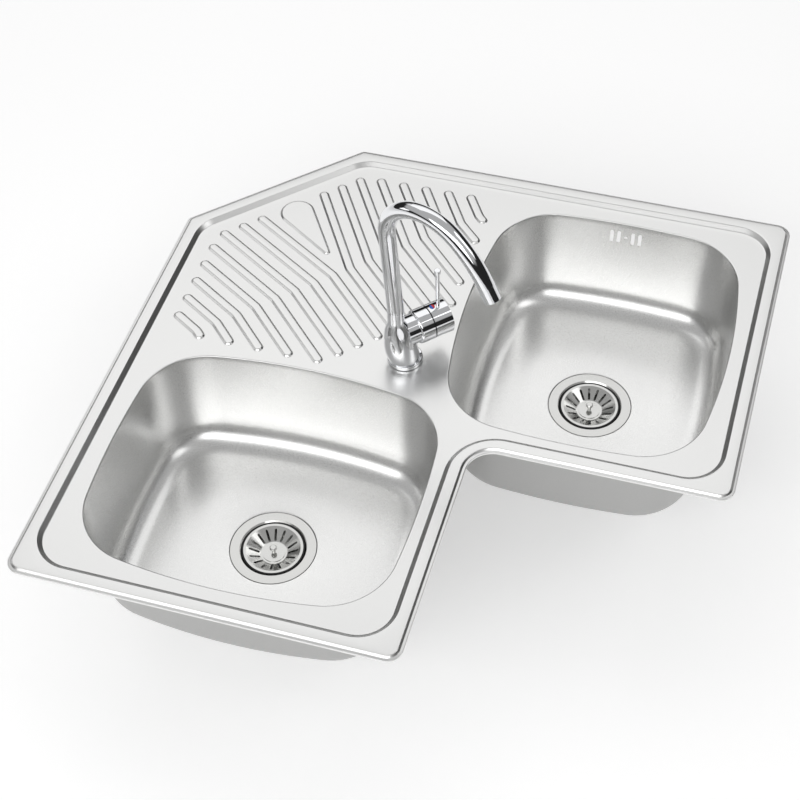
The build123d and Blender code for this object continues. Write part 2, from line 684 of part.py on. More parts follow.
    with BuildPart() as basket_seal:
        turned(
            bowl,
            (CUP_R, SEAL_LEVEL - SEAL_HEIGHT / 2),
            (SEAL_R, SEAL_LEVEL),
            (SEAL_R, SEAL_LEVEL + SEAL_HEIGHT / 2),
            (CUP_R, SEAL_LEVEL + SEAL_HEIGHT / 2),
        )
    basket_seal.part.label = f"basket_seal_{side}"
    export_step(basket_seal.part, f"parts/basket_seal_{side}.step")

    with BuildPart() as basket_knob:
        turned(
            bowl,
            (0, BASKET_FLOOR - 2 * BASKET_GAUGE),
            (KNOB_POST_R, BASKET_FLOOR - 2 * BASKET_GAUGE),
            (KNOB_POST_R, BASKET_FLOOR),
            (DISC_R, BASKET_FLOOR),
            (DISC_R, BASKET_FLOOR + BASKET_GAUGE),
            (KNOB_POST_R, BASKET_FLOOR + 2 * BASKET_GAUGE),
            (KNOB_POST_R, BASKET_FLOOR + KNOB_STAND),
            (KNOB_R, BASKET_FLOOR + KNOB_STAND + BASKET_GAUGE),
            (KNOB_R, BASKET_FLOOR + KNOB_STAND + KNOB_HEIGHT - BASKET_GAUGE),
            (KNOB_R - BASKET_GAUGE, BASKET_FLOOR + KNOB_STAND + KNOB_HEIGHT),
            (0, BASKET_FLOOR + KNOB_STAND + KNOB_HEIGHT),
        )
    basket_knob.part.label = f"basket_knob_{side}"
    export_step(basket_knob.part, f"parts/basket_knob_{side}.step")


# --- Mixer tap: planes -----------------------------------------------------------------
# TAP's x axis points from the riser towards the handle; BARREL looks along that axis.
HANDLE_WAY = Vector(1, 1, 0).normalized()
TAP = Plane(origin=(0, 0, 0), x_dir=HANDLE_WAY, z_dir=(0, 0, 1))
BARREL = Plane(origin=(0, 0, BARREL_HEIGHT), x_dir=(0, 0, 1), z_dir=HANDLE_WAY)
RISER_FOOT = HANDLE_WAY * -RISER_OFFSET
RISER_PLANE = Plane(origin=RISER_FOOT, x_dir=HANDLE_WAY, z_dir=(0, 0, 1))
SPOUT_WAY = Vector(cos(radians(SPOUT_AZIMUTH)), sin(radians(SPOUT_AZIMUTH)), 0)
SPOUT_PLANE = Plane(origin=RISER_FOOT, x_dir=SPOUT_WAY, z_dir=SPOUT_WAY.cross(Vector(0, 0, 1)))
SPIGOT_FOOT = COLLAR_TOP - SPIGOT_LENGTH


def bar(plane, start, end, radius, bore=0, mode=Mode.ADD):
    """Round bar or tube along the plane's normal."""
    with BuildSketch(plane.offset(start)) as section:
        Circle(radius)
        if bore:
            Circle(bore, mode=Mode.SUBTRACT)
    extrude(section.sketch, amount=end - start, mode=mode)


# --- Mixer tap: base -------------------------------------------------------------------
with BuildPart() as tap_base_seal:
    bar(TAP, PAN_LEVEL, PAN_LEVEL + BASE_SEAL, BASE_R - BASE_SEAL, SHANK_R)
tap_base_seal.part.label = "tap_base_seal"
export_step(tap_base_seal.part, "parts/tap_base_seal.step")

BASE_LEVEL = PAN_LEVEL + BASE_SEAL
with BuildPart() as tap_base_ring:
    bar(TAP, BASE_LEVEL, BASE_HEIGHT, BASE_R, SHANK_R)
    fillet(tap_base_ring.edges().group_by(Axis.Z)[-1].sort_by(SortBy.RADIUS)[-1], radius=BASE_ROUND)
tap_base_ring.part.label = "tap_base_ring"
export_step(tap_base_ring.part, "parts/tap_base_ring.step")

# Height, radius and distance behind the tap's axis of each level of the egg-shaped body.
BODY_SECTIONS = [
    (BASE_HEIGHT, FOOT_R, FOOT_OFFSET),
    (SWELL_HEIGHT, SWELL_R, SWELL_OFFSET),
    (BELLY_HEIGHT, BELLY_R, BELLY_OFFSET),
    (WAIST_HEIGHT, WAIST_R, WAIST_OFFSET),
    (SHOULDER_HEIGHT, SHOULDER_R, SHOULDER_OFFSET),
    (THROAT_HEIGHT, THROAT_R, THROAT_OFFSET),
    (NECK_HEIGHT, COLLAR_R, RISER_OFFSET),
]
with BuildPart() as tap_body:
    for height, radius, offset in BODY_SECTIONS:
        with BuildSketch(TAP.offset(height)):
            with Locations((-offset, 0)):
                Circle(radius)
    loft()
    bar(BARREL, 0, BARREL_START + BARREL_ROUND, ARM_R)
    with BuildPart(mode=Mode.PRIVATE) as barrel:
        bar(BARREL, BARREL_START, BARREL_END, BARREL_R)
        barrel_ends = barrel.edges().filter_by(GeomType.CIRCLE).sort_by_distance(BARREL.origin)
        fillet(barrel_ends[0], radius=BARREL_ROUND)
    add(barrel.part)
    bar(BARREL, CARTRIDGE_START, BARREL_END, CARTRIDGE_R + CARTRIDGE_GAP, mode=Mode.SUBTRACT)
    bar(RISER_PLANE, SPIGOT_FOOT - BASE_SEAL, NECK_HEIGHT, SPIGOT_R + SPIGOT_CLEARANCE, mode=Mode.SUBTRACT)
    with BuildSketch(TAP.offset(BASE_HEIGHT)):
        with Locations((0, -INLET_OFFSET), (0, INLET_OFFSET)):
            Circle(INLET_R)
    extrude(amount=INLET_DEPTH, mode=Mode.SUBTRACT)
tap_body.part.label = "tap_body"
export_step(tap_body.part, "parts/tap_body.step")

# --- Mixer tap: fixing under the deck --------------------------------------------------
SHANK_END = BASE_HEIGHT - SHANK_LENGTH
PLATE_TOP = PAN_UNDERSIDE - WASHER_HEIGHT
with BuildPart() as tap_shank:
    bar(TAP, SHANK_END, BASE_HEIGHT, SHANK_R, SHANK_BORE_R)
tap_shank.part.label = "tap_shank"
export_step(tap_shank.part, "parts/tap_shank.step")

with BuildPart() as shank_washer:
    bar(TAP, PLATE_TOP, PAN_UNDERSIDE, PLATE_R, SHANK_R)
shank_washer.part.label = "shank_washer"
export_step(shank_washer.part, "parts/shank_washer.step")

with BuildPart() as shank_plate:
    bar(TAP, PLATE_TOP - PLATE_GAUGE, PLATE_TOP, PLATE_R, SHANK_R + SHANK_GAP)
shank_plate.part.label = "shank_plate"
export_step(shank_plate.part, "parts/shank_plate.step")

with BuildPart() as shank_nut:
    with BuildSketch(TAP.offset(PLATE_TOP - PLATE_GAUGE)):
        RegularPolygon(NUT_R, 6)
        Circle(SHANK_R, mode=Mode.SUBTRACT)
    extrude(amount=-NUT_HEIGHT)
shank_nut.part.label = "shank_nut"
export_step(shank_nut.part, "parts/shank_nut.step")

# --- Mixer tap: spout ------------------------------------------------------------------
with BuildPart() as spout_collar:
    bar(RISER_PLANE, NECK_HEIGHT, COLLAR_TOP, COLLAR_R, SPIGOT_R + SPIGOT_CLEARANCE)
    fillet(spout_collar.edges().group_by(Axis.Z)[-1].sort_by(SortBy.RADIUS)[-1], radius=COLLAR_ROUND)
spout_collar.part.label = "spout_collar"
export_step(spout_collar.part, "parts/spout_collar.step")

with BuildPart() as spout_washer:
    bar(RISER_PLANE, SPIGOT_FOOT - BASE_SEAL, SPIGOT_FOOT, SPIGOT_R, SPIGOT_R - SPOUT_WALL)
spout_washer.part.label = "spout_washer"
export_step(spout_washer.part, "parts/spout_washer.step")

with BuildPart() as spout:
    with BuildLine(SPOUT_PLANE) as neck:
        foot = Line((0, COLLAR_TOP + SWIVEL_GAP), (0, COLLAR_TOP + 2 * SWIVEL_GAP))
        bend = JernArc(foot @ 1, foot % 1, FOOT_BEND_R, LEAN)
        riser = PolarLine(bend @ 1, RISER_LENGTH, direction=bend % 1)
        rise = JernArc(riser @ 1, riser % 1, ARCH_1_R, -ARCH_1_TURN)
        crown = JernArc(rise @ 1, rise % 1, ARCH_2_R, -ARCH_2_TURN)
        fall = JernArc(crown @ 1, crown % 1, ARCH_3_R, -ARCH_3_TURN)
    with BuildSketch(RISER_PLANE.offset(COLLAR_TOP + SWIVEL_GAP)):
        Circle(SPOUT_R)
        Circle(SPOUT_R - SPOUT_WALL, mode=Mode.SUBTRACT)
    sweep()
    bar(RISER_PLANE, SPIGOT_FOOT, COLLAR_TOP + SWIVEL_GAP, SPIGOT_R, SPIGOT_R - SPOUT_WALL)
    bar(
        RISER_PLANE,
        COLLAR_TOP + SWIVEL_GAP,
        COLLAR_TOP + SWIVEL_GAP + SPOUT_WALL,
        SPOUT_R,
        SPIGOT_R - SPOUT_WALL,
    )
spout.part.label = "spout"
export_step(spout.part, "parts/spout.step")

# The outlet plane's normal points along the flow.
OUTLET = Plane(origin=fall @ 1, z_dir=fall % 1)
with BuildPart() as aerator_housing:
    bar(OUTLET, 0, AERATOR_LENGTH, AERATOR_R, AERATOR_R - AERATOR_WALL)
    housing_ends = aerator_housing.edges().filter_by(GeomType.CIRCLE).sort_by_distance(OUTLET.origin)
    fillet(housing_ends[-2:], radius=AERATOR_ROUND)
aerator_housing.part.label = "aerator_housing"
export_step(aerator_housing.part, "parts/aerator_housing.step")

with BuildPart() as aerator_insert:
    insert_end = AERATOR_LENGTH - INSERT_SETBACK
    bar(OUTLET, insert_end - INSERT_HEIGHT, insert_end, AERATOR_R - AERATOR_WALL)
    with BuildSketch(OUTLET.offset(insert_end)):
        with PolarLocations(AERATOR_R / 2, INSERT_HOLES):
            Circle(INSERT_HOLE_R)
        Circle(INSERT_HOLE_R)
    extrude(amount=-INSERT_HEIGHT, mode=Mode.SUBTRACT)
aerator_insert.part.label = "aerator_insert"
export_step(aerator_insert.part, "parts/aerator_insert.step")

# --- Mixer tap: cartridge --------------------------------------------------------------
ROTOR_R = CARTRIDGE_R - CARTRIDGE_WALL - CARTRIDGE_GAP
ROTOR_START = CARTRIDGE_END - ROTOR_LENGTH - 2 * CARTRIDGE_GAP
with BuildPart() as cartridge:
    bar(BARREL, CARTRIDGE_START, CARTRIDGE_END, CARTRIDGE_R)
    bar(BARREL, ROTOR_START, CARTRIDGE_END, ROTOR_R + CARTRIDGE_GAP, mode=Mode.SUBTRACT)
cartridge.part.label = "cartridge"
export_step(cartridge.part, "parts/cartridge.step")

# The rotor turns with the lever; its slot lets the stem tilt one way only.
slot_drop = STEM_R / cos(radians(TILT)) + (CARTRIDGE_END - BALL_AT) * tan(radians(TILT)) + STEM_GAP
slot_rise = STEM_R + STEM_GAP
with BuildPart() as cartridge_rotor:
    bar(BARREL, ROTOR_START + CARTRIDGE_GAP, CARTRIDGE_END - CARTRIDGE_GAP, ROTOR_R)
    with BuildSketch(BARREL.offset(CARTRIDGE_END)):
        with Locations(((slot_rise - slot_drop) / 2, 0)):
            Rectangle(slot_rise + slot_drop, 2 * slot_rise)
    extrude(amount=BALL_AT - CARTRIDGE_END, mode=Mode.SUBTRACT)
    with BuildSketch(BARREL.offset(BALL_AT)):
        Circle(BALL_R + STEM_GAP)
    extrude(amount=BALL_R + STEM_GAP, both=True, mode=Mode.SUBTRACT)
cartridge_rotor.part.label = "cartridge_rotor"
export_step(cartridge_rotor.part, "parts/cartridge_rotor.step")

with BuildPart() as cartridge_nut:
    bar(BARREL, CARTRIDGE_END, CARTRIDGE_END + NUT_LENGTH, CARTRIDGE_R, NUT_BORE_R)
cartridge_nut.part.label = "cartridge_nut"
export_step(cartridge_nut.part, "parts/cartridge_nut.step")

with BuildPart() as gap_ring:
    bar(BARREL, CARTRIDGE_END + NUT_LENGTH, BARREL_END, CARTRIDGE_R, NUT_BORE_R)
    bar(BARREL, BARREL_END, TRIM_END, TRIM_R, NUT_BORE_R)
gap_ring.part.label = "gap_ring"
export_step(gap_ring.part, "parts/gap_ring.step")

# --- Mixer tap: handle -----------------------------------------------------------------
HOLLOW_END = CAP_START + CAP_HOLLOW
DOME_R = (BARREL_R**2 + CAP_DOME**2) / (2 * CAP_DOME)
STEM_END = HOLLOW_END + GRUB_LENGTH
with BuildPart() as cartridge_stem:
    with BuildSketch(BARREL.offset(BALL_AT)):
        Circle(STEM_R)
    extrude(amount=STEM_END - BALL_AT)
    with Locations(BARREL.offset(BALL_AT).origin):
        Sphere(BALL_R)
cartridge_stem.part.label = "cartridge_stem"
export_step(cartridge_stem.part, "parts/cartridge_stem.step")

with BuildPart() as handle_cap:
    with BuildSketch(Plane(origin=BARREL.origin, x_dir=HANDLE_WAY, z_dir=(0, 0, 1))):
        with BuildLine():
            Polyline(
                (CAP_END + CAP_DOME, 0),
                (HOLLOW_END, 0),
                (HOLLOW_END, BARREL_R - CAP_SHELF),
                (CAP_START + CAP_HOLLOW / 2, BARREL_R - CAP_WALL),
                (CAP_START, BARREL_R - CAP_WALL),
                (CAP_START, BARREL_R),
                (CAP_END + CAP_DOME, BARREL_R),
                close=True,
            )
        make_face()
    revolve(axis=Axis(BARREL.origin, HANDLE_WAY))
    with Locations(BARREL.origin + HANDLE_WAY * (CAP_END + CAP_DOME - DOME_R)):
        Sphere(DOME_R, mode=Mode.INTERSECT)
    bar(BARREL, HOLLOW_END, STEM_END, STEM_R, mode=Mode.SUBTRACT)
    pin_seat = Plane(origin=BARREL.origin + HANDLE_WAY * PIN_AT)
    bar(pin_seat, BARREL_R - PIN_ROOT, BARREL_R + CAP_DOME, PIN_R, mode=Mode.SUBTRACT)
    button_way = Vector(0, 0, 1).rotate(Axis((0, 0, 0), HANDLE_WAY), BUTTON_ANGLE - 90)
    button_seat = Plane(origin=BARREL.origin + HANDLE_WAY * BUTTON_AT, z_dir=button_way)
    bar(button_seat, BARREL_R - BUTTON_DEPTH, BARREL_R + CAP_DOME, BUTTON_R, mode=Mode.SUBTRACT)
    grub_seat = Plane(origin=BARREL.origin + HANDLE_WAY * (HOLLOW_END + STEM_END) / 2, z_dir=(0, 0, -1))
    bar(grub_seat, 0, BARREL_R + CAP_DOME, GRUB_R, mode=Mode.SUBTRACT)
handle_cap.part.label = "handle_cap"
export_step(handle_cap.part, "parts/handle_cap.step")

with BuildPart() as lever_pin:
    bar(pin_seat, BARREL_R - PIN_ROOT, PIN_TOP - BARREL_HEIGHT, PIN_R)
    bar(pin_seat, PIN_TOP - BARREL_HEIGHT - PIN_HEAD, PIN_TOP - BARREL_HEIGHT, PIN_HEAD_R)
    fillet(lever_pin.edges().group_by(Axis.Z)[-1], radius=PIN_ROUND)
lever_pin.part.label = "lever_pin"
export_step(lever_pin.part, "parts/lever_pin.step")

with BuildPart() as index_button:
    bar(button_seat, BARREL_R - BUTTON_DEPTH, BARREL_R + BUTTON_PROUD, BUTTON_R)
index_button.part.label = "index_button"
export_step(index_button.part, "parts/index_button.step")

with BuildPart() as grub_screw:
    bar(grub_seat, STEM_R, STEM_R + GRUB_LENGTH, GRUB_R)
grub_screw.part.label = "grub_screw"
export_step(grub_screw.part, "parts/grub_screw.step")
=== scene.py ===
"""Corner kitchen sink with a swan-neck mixer tap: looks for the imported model.

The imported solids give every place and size. This script makes the top and the bowls again with
the soft edges that pressed sheet has, and gives each piece the finish that the real one has.
"""

import cmath
import logging
import math
from dataclasses import dataclass, replace
from enum import Enum
from functools import partial
from typing import Any, Callable, Sequence

import bmesh
import bpy
from mathutils import Matrix, Vector
from mathutils.geometry import delaunay_2d_cdt

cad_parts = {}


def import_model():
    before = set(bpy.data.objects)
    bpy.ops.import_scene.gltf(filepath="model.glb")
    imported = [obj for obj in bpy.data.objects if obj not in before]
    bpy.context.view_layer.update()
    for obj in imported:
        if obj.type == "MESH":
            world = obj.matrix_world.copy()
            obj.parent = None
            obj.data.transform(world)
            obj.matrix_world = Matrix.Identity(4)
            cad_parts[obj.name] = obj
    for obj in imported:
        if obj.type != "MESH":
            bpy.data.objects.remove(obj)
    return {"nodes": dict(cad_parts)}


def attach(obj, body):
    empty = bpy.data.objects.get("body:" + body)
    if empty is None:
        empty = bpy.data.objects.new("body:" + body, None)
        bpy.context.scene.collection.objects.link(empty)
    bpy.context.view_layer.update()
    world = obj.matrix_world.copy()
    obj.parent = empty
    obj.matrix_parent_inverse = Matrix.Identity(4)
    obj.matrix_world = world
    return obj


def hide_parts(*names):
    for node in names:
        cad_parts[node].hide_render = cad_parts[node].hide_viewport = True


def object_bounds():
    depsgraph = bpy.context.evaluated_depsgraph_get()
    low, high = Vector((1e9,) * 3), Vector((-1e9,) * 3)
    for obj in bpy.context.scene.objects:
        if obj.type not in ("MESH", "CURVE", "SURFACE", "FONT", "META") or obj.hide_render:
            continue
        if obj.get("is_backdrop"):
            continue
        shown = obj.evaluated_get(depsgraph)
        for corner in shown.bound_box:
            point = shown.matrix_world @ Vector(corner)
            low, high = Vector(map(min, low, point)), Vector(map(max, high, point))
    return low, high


log = logging.getLogger("corner_sink")

MM = 0.001
ROOT_2 = math.sqrt(2.0)
# Two points nearer to each other than this, in millimetres, become one.
WELD = 0.002
# The triangulation's option that fills inside an outline and leaves its holes open, and how near
# to each other, in metres, it takes two points for one.
INSIDE_WITH_HOLES = 2
SAME_SPOT = 1e-7

# A plan point is a complex number of millimetres, x to the right and y to the back wall.
Outline = list[complex]
PlanAt = Callable[[float], Outline]
Ring = list[bmesh.types.BMVert]
Keys = Sequence[tuple[float, float]]


class Body(str, Enum):
    """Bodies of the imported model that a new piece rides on."""

    SINK = "sink"


class Slot(str, Enum):
    """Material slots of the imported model."""

    SATIN_STEEL = "satin_steel"
    STRAINER_STEEL = "strainer_steel"
    CLIP_STEEL = "clip_steel"
    CHROME = "chrome"
    BRASS = "brass"
    BLACK_RUBBER = "black_rubber"
    GREY_FOAM = "grey_foam"
    WHITE_PLASTIC = "white_plastic"
    BLACK_PLASTIC = "black_plastic"
    INDEX_RED = "index_red"


# --- Colour and nodes --------------------------------------------------------------------
def linear(colour: str) -> tuple[float, float, float, float]:
    """Turn an sRGB hex colour into linear light.

    Args:
        colour: Six hex digits after a hash sign.

    Returns:
        Linear red, green, blue and an alpha of one.
    """
    channels = [int(colour[i : i + 2], 16) / 255 for i in (1, 3, 5)]
    red, green, blue = (
        c / 12.92 if c <= 0.04045 else ((c + 0.055) / 1.055) ** 2.4 for c in channels
    )
    return red, green, blue, 1.0


def add_node(tree: bpy.types.NodeTree, kind: str, **inputs: Any) -> bpy.types.Node:
    """Add a node, set its properties and sockets, and link what is a socket.

    Args:
        tree: Node tree that gets the node.
        kind: Blender's name of the node type.
        inputs: Property or input names, with underscores for spaces, or i and an input's
            number, and their values or the sockets that feed them.

    Returns:
        The new node.
    """
    node = tree.nodes.new(kind)
    for name, value in inputs.items():
        if hasattr(node, name):
            setattr(node, name, value)
            continue
        socket = node.inputs[int(name[1:]) if name[1:].isdigit() else name.replace("_", " ")]
        if isinstance(value, bpy.types.NodeSocket):
            tree.links.new(value, socket)
        else:
            socket.default_value = value
    return node


# --- Finishes ----------------------------------------------------------------------------
@dataclass(frozen=True)
class Finish:
    """A real material and how its surface was made.

    Attributes:
        name: Name of the Blender material.
        colour: sRGB hex colour.
        metallic: One for bare metal, nought for the rest.
        roughness: Mean roughness.
        spread: How far the roughness wanders either side of the mean.
        grain: Size in millimetres of the marks the process leaves.
        octaves: How many layers of ever finer marks lie over one another.
        relief: Height in millimetres of those marks.
        fade: How far the colour wanders towards black, from nought to one.
        centre: Plan point in millimetres that the marks run round, for a turned piece.
        brushing: How far the reflections are drawn out across the brush strokes, from nought
            to one.
        across: Direction across the strokes. On a wall it lies upright, and on a floor it runs
            to the back.
    """

    name: str
    colour: str
    metallic: float = 1.0
    roughness: float = 0.3
    spread: float = 0.05
    grain: float = 1.0
    octaves: float = 3.0
    relief: float = 0.0
    fade: float = 0.0
    centre: complex | None = None
    brushing: float = 0.0
    across: tuple[float, float, float] = (0.0, -0.35, 1.0)

    def coordinates(self, tree: bpy.types.NodeTree) -> bpy.types.NodeSocket:
        """Add the nodes that say where a point lies in the marks.

        Args:
            tree: Node tree of the material.

        Returns:
            Socket of the point in metres, wound round the centre on a turned piece.
        """
        place = add_node(tree, "ShaderNodeTexCoord").outputs["Object"]
        if self.centre is None:
            return place
        back = (-self.centre.real * MM, -self.centre.imag * MM, 0.0)
        moved = add_node(tree, "ShaderNodeVectorMath", operation="ADD", i0=place, i1=back)
        parts = add_node(tree, "ShaderNodeSeparateXYZ", Vector=moved.outputs[0]).outputs
        flat = add_node(tree, "ShaderNodeCombineXYZ", X=parts["X"], Y=parts["Y"]).outputs[0]
        reach = add_node(tree, "ShaderNodeVectorMath", operation="LENGTH", i0=flat).outputs["Value"]
        return add_node(tree, "ShaderNodeCombineXYZ", X=reach, Y=parts["Z"]).outputs[0]

    def tint(self, tree: bpy.types.NodeTree, marks: bpy.types.NodeSocket) -> bpy.types.NodeSocket:
        """Add the nodes of the colour.

        Args:
            tree: Node tree of the material.
            marks: Socket of the marks, from nought to one.

        Returns:
            Socket of the colour.
        """
        pale = linear(self.colour)
        dark = tuple(c * (1.0 - self.fade) for c in pale[:3]) + (1.0,)
        mixed = add_node(tree, "ShaderNodeMix", data_type="RGBA", i0=marks, i6=pale, i7=dark)
        return mixed.outputs[2]

    def material(self) -> bpy.types.Material:
        """Build the material, or give the one already built.

        Returns:
            The Blender material of this finish.
        """
        known = bpy.data.materials.get(self.name)
        if known:
            return known
        made = bpy.data.materials.new(self.name)
        made.use_nodes = True
        tree = made.node_tree
        shader = tree.nodes["Principled BSDF"]
        shader.inputs["Metallic"].default_value = self.metallic
        noise = add_node(
            tree,
            "ShaderNodeTexNoise",
            Vector=self.coordinates(tree),
            Scale=1.0 / (self.grain * MM),
            Detail=self.octaves,
        )
        marks = noise.outputs["Fac"]
        low, high = self.roughness - self.spread, self.roughness + self.spread
        rough = add_node(tree, "ShaderNodeMapRange", Value=marks, To_Min=low, To_Max=high)
        tree.links.new(rough.outputs["Result"], shader.inputs["Roughness"])
        tree.links.new(self.tint(tree, marks), shader.inputs["Base Color"])
        if self.brushing:
            shader.inputs["Anisotropic"].default_value = self.brushing
            x, y, z = self.across
            strokes = add_node(tree, "ShaderNodeCombineXYZ", X=x, Y=y, Z=z)
            tree.links.new(strokes.outputs[0], shader.inputs["Tangent"])
        if self.relief:
            bump = add_node(tree, "ShaderNodeBump", Height=marks, Distance=self.relief * MM)
            tree.links.new(bump.outputs["Normal"], shader.inputs["Normal"])
        return made


@dataclass(frozen=True)
class HalvedFinish(Finish):
    """A moulded disc whose two halves have a colour each.

    Attributes:
        other: sRGB hex colour of the other half.
        middle: Middle of the disc in millimetres.
        across: Direction from the first half to the other.
    """

    other: str = "#000000"
    middle: tuple[float, float, float] = (0.0, 0.0, 0.0)

    def tint(self, tree: bpy.types.NodeTree, marks: bpy.types.NodeSocket) -> bpy.types.NodeSocket:
        """Add the nodes of the two colours, with a hard line between them.

        Args:
            tree: Node tree of the material.
            marks: Socket of the marks, which the halves don't use.

        Returns:
            Socket of the colour.
        """
        place = add_node(tree, "ShaderNodeTexCoord").outputs["Object"]
        along = add_node(
            tree, "ShaderNodeVectorMath", operation="DOT_PRODUCT", i0=place, i1=self.across
        ).outputs["Value"]
        border = Vector(self.middle).dot(Vector(self.across)) * MM
        side = add_node(tree, "ShaderNodeMath", operation="GREATER_THAN", i0=along, i1=border)
        mixed = add_node(
            tree,
            "ShaderNodeMix",
            data_type="RGBA",
            i0=side.outputs[0],
            i6=linear(self.colour),
            i7=linear(self.other),
        )
        return mixed.outputs[2]


# Plan points of the bowls' middles, in millimetres.
LEFT_BOWL = complex(-118.9, -232.3)
RIGHT_BOWL = complex(232.3, 118.9)

# Stainless sheet, pressed and blasted to a satin: pale and even, reflections melt into soft bands.
SATIN_SHEET = Finish(
    "stainless_sheet_satin", "#EAEAE9", roughness=0.30, grain=0.9, relief=0.003, fade=0.03
)
# The same sheet inside the bowls, brushed level round the walls: reflections are drawn out up
# and down.
BRUSHED_BOWL = replace(
    SATIN_SHEET, name="stainless_bowl_inside_brushed", roughness=0.28, brushing=0.45
)
# Outside of the drawn bowls, left as drawn: duller and greyer than the satin inside.
DRAWN_OUTSIDE = Finish(
    "stainless_bowl_outside_drawn", "#BDBDBC", roughness=0.42, grain=1.4, relief=0.006, fade=0.06
)
# Stainless strainers, turned and polished: crisp reflections with fine turning marks round them.
TURNED_LEFT = Finish(
    "stainless_strainer_left_turned",
    "#CFCFCD",
    roughness=0.16,
    spread=0.04,
    grain=0.8,
    relief=0.006,
    centre=LEFT_BOWL,
)
TURNED_RIGHT = replace(TURNED_LEFT, name="stainless_strainer_right_turned", centre=RIGHT_BOWL)
# Zinc-plated spring steel of the clips: cool grey with a cloudy plating.
PLATED_CLIP = Finish(
    "steel_clip_zinc_plated", "#B9BDC2", roughness=0.38, spread=0.1, grain=2.5, fade=0.15
)
# Chromium plate on polished brass: near-mirror, a trace of waviness in the reflections.
CHROME = Finish(
    "brass_chrome_plated", "#EDEEF0", roughness=0.045, spread=0.015, grain=14.0, fade=0.01
)
# Machined brass of the shank and nuts: warm yellow with fine tool marks.
BRASS = Finish("brass_machined", "#C9A561", roughness=0.28, grain=0.8, relief=0.01, fade=0.12)
non_metal = partial(Finish, metallic=0.0)
# Moulded nitrile rubber: black, dull, faintly dusty.
RUBBER = non_metal(
    "nitrile_rubber_moulded", "#1B1B1C", roughness=0.62, grain=1.6, relief=0.02, fade=0.3
)
# Closed-cell foam strip: mid grey with a pebbled skin.
FOAM = non_metal(
    "polyethylene_foam_extruded", "#8C8E90", roughness=0.85, grain=1.2, relief=0.12, fade=0.3
)
# Moulded polypropylene of the waste bodies: off-white with a soft sheen.
WHITE_PLASTIC = non_metal(
    "polypropylene_moulded_white", "#DCDCD8", roughness=0.42, grain=2.0, relief=0.01, fade=0.05
)
# Moulded acetal: black with a low sheen.
BLACK_PLASTIC = non_metal(
    "acetal_moulded_black", "#17181A", roughness=0.4, grain=2.0, relief=0.01, fade=0.2
)
# Moulded styrene of the index button: clear bright blue for cold and red for hot.
INDEX_PLASTIC = HalvedFinish(
    "styrene_index_halved",
    "#2B5FC4",
    metallic=0.0,
    roughness=0.22,
    grain=3.0,
    other="#D2202B",
    middle=(30.9, 30.9, 73.0),
    across=(0.7071, 0.7071, 0.0),
)

FINISH_OF_SLOT: dict[Slot, Finish] = {
    Slot.SATIN_STEEL: SATIN_SHEET,
    Slot.STRAINER_STEEL: TURNED_LEFT,
    Slot.CLIP_STEEL: PLATED_CLIP,
    Slot.CHROME: CHROME,
    Slot.BRASS: BRASS,
    Slot.BLACK_RUBBER: RUBBER,
    Slot.GREY_FOAM: FOAM,
    Slot.WHITE_PLASTIC: WHITE_PLASTIC,
    Slot.BLACK_PLASTIC: BLACK_PLASTIC,
    Slot.INDEX_RED: INDEX_PLASTIC,
}


def dress_solids(nodes: dict[str, bpy.types.Object]) -> None:
    """Give every carried-over solid the finish of its slot.

    Args:
        nodes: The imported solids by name.
    """
    for name, solid in nodes.items():
        finish = FINISH_OF_SLOT[Slot(solid.material_slots[0].name)]
        if finish is TURNED_LEFT and name.endswith("_right"):
            finish = TURNED_RIGHT
        solid.material_slots[0].material = finish.material()
        log.info("%s: %s", name, finish.name)


# --- Sheet-metal shapes ------------------------------------------------------------------
def rounded(
    corners: Sequence[complex], radii: Sequence[float], steps: Sequence[int], closed: bool
) -> Outline:
    """Round the corners of a path with arcs.

    Args:
        corners: Corners of the path in order.
        radii: Radius at each corner.
        steps: Steps in the arc at each corner.
        closed: Whether the last corner joins the first. The ends of an open path stay sharp.

    Returns:
        Points of the path, one at the start and end of each arc and one after each step.
    """
    points: Outline = []
    last = len(corners) - 1
    for i, corner in enumerate(corners):
        if not closed and i in (0, last):
            points.append(corner)
            continue
        before = corners[i - 1] - corner
        after = corners[(i + 1) % len(corners)] - corner
        before, after = before / abs(before), after / abs(after)
        half = abs(cmath.phase(after / before)) / 2
        middle = before + after
        centre = corner + middle / abs(middle) * (radii[i] / math.sin(half))
        start = corner + before * (radii[i] / math.tan(half)) - centre
        turn = cmath.phase((corner + after * (radii[i] / math.tan(half)) - centre) / start)
        turns = (turn * k / steps[i] for k in range(steps[i] + 1))
        points += [centre + start * cmath.rect(1.0, t) for t in turns]
    return points


@dataclass(frozen=True)
class Bend:
    """One corner of a pressed section.

    Attributes:
        inset: Distance in from the section's outer edge, in millimetres.
        level: Height in millimetres.
        radius: Radius of the bend in millimetres, nought for a sharp corner or an end.
        steps: Steps in the arc of the bend.
    """

    inset: float
    level: float
    radius: float = 0.0
    steps: int = 0


def pressed(bends: Sequence[Bend]) -> list[tuple[float, float]]:
    """Give the distance in and the level of each ring of a pressed section.

    Args:
        bends: Corners of the section, from the outside in.

    Returns:
        Pairs of a distance in and a level, with the corners rounded.
    """
    corners = [complex(bend.inset, bend.level) for bend in bends]
    radii, steps = [bend.radius for bend in bends], [bend.steps for bend in bends]
    return [(p.real, p.imag) for p in rounded(corners, radii, steps, closed=False)]


def between(keys: Keys, at: float) -> float:
    """Read a value off a line through key points.

    Args:
        keys: Points of the line in rising order.
        at: Where to read it.

    Returns:
        The value there, and the end values beyond the ends.
    """
    for (x0, y0), (x1, y1) in zip(keys, keys[1:]):
        if at <= x1:
            return y0 + (y1 - y0) * max(at - x0, 0.0) / (x1 - x0)
    return keys[-1][1]


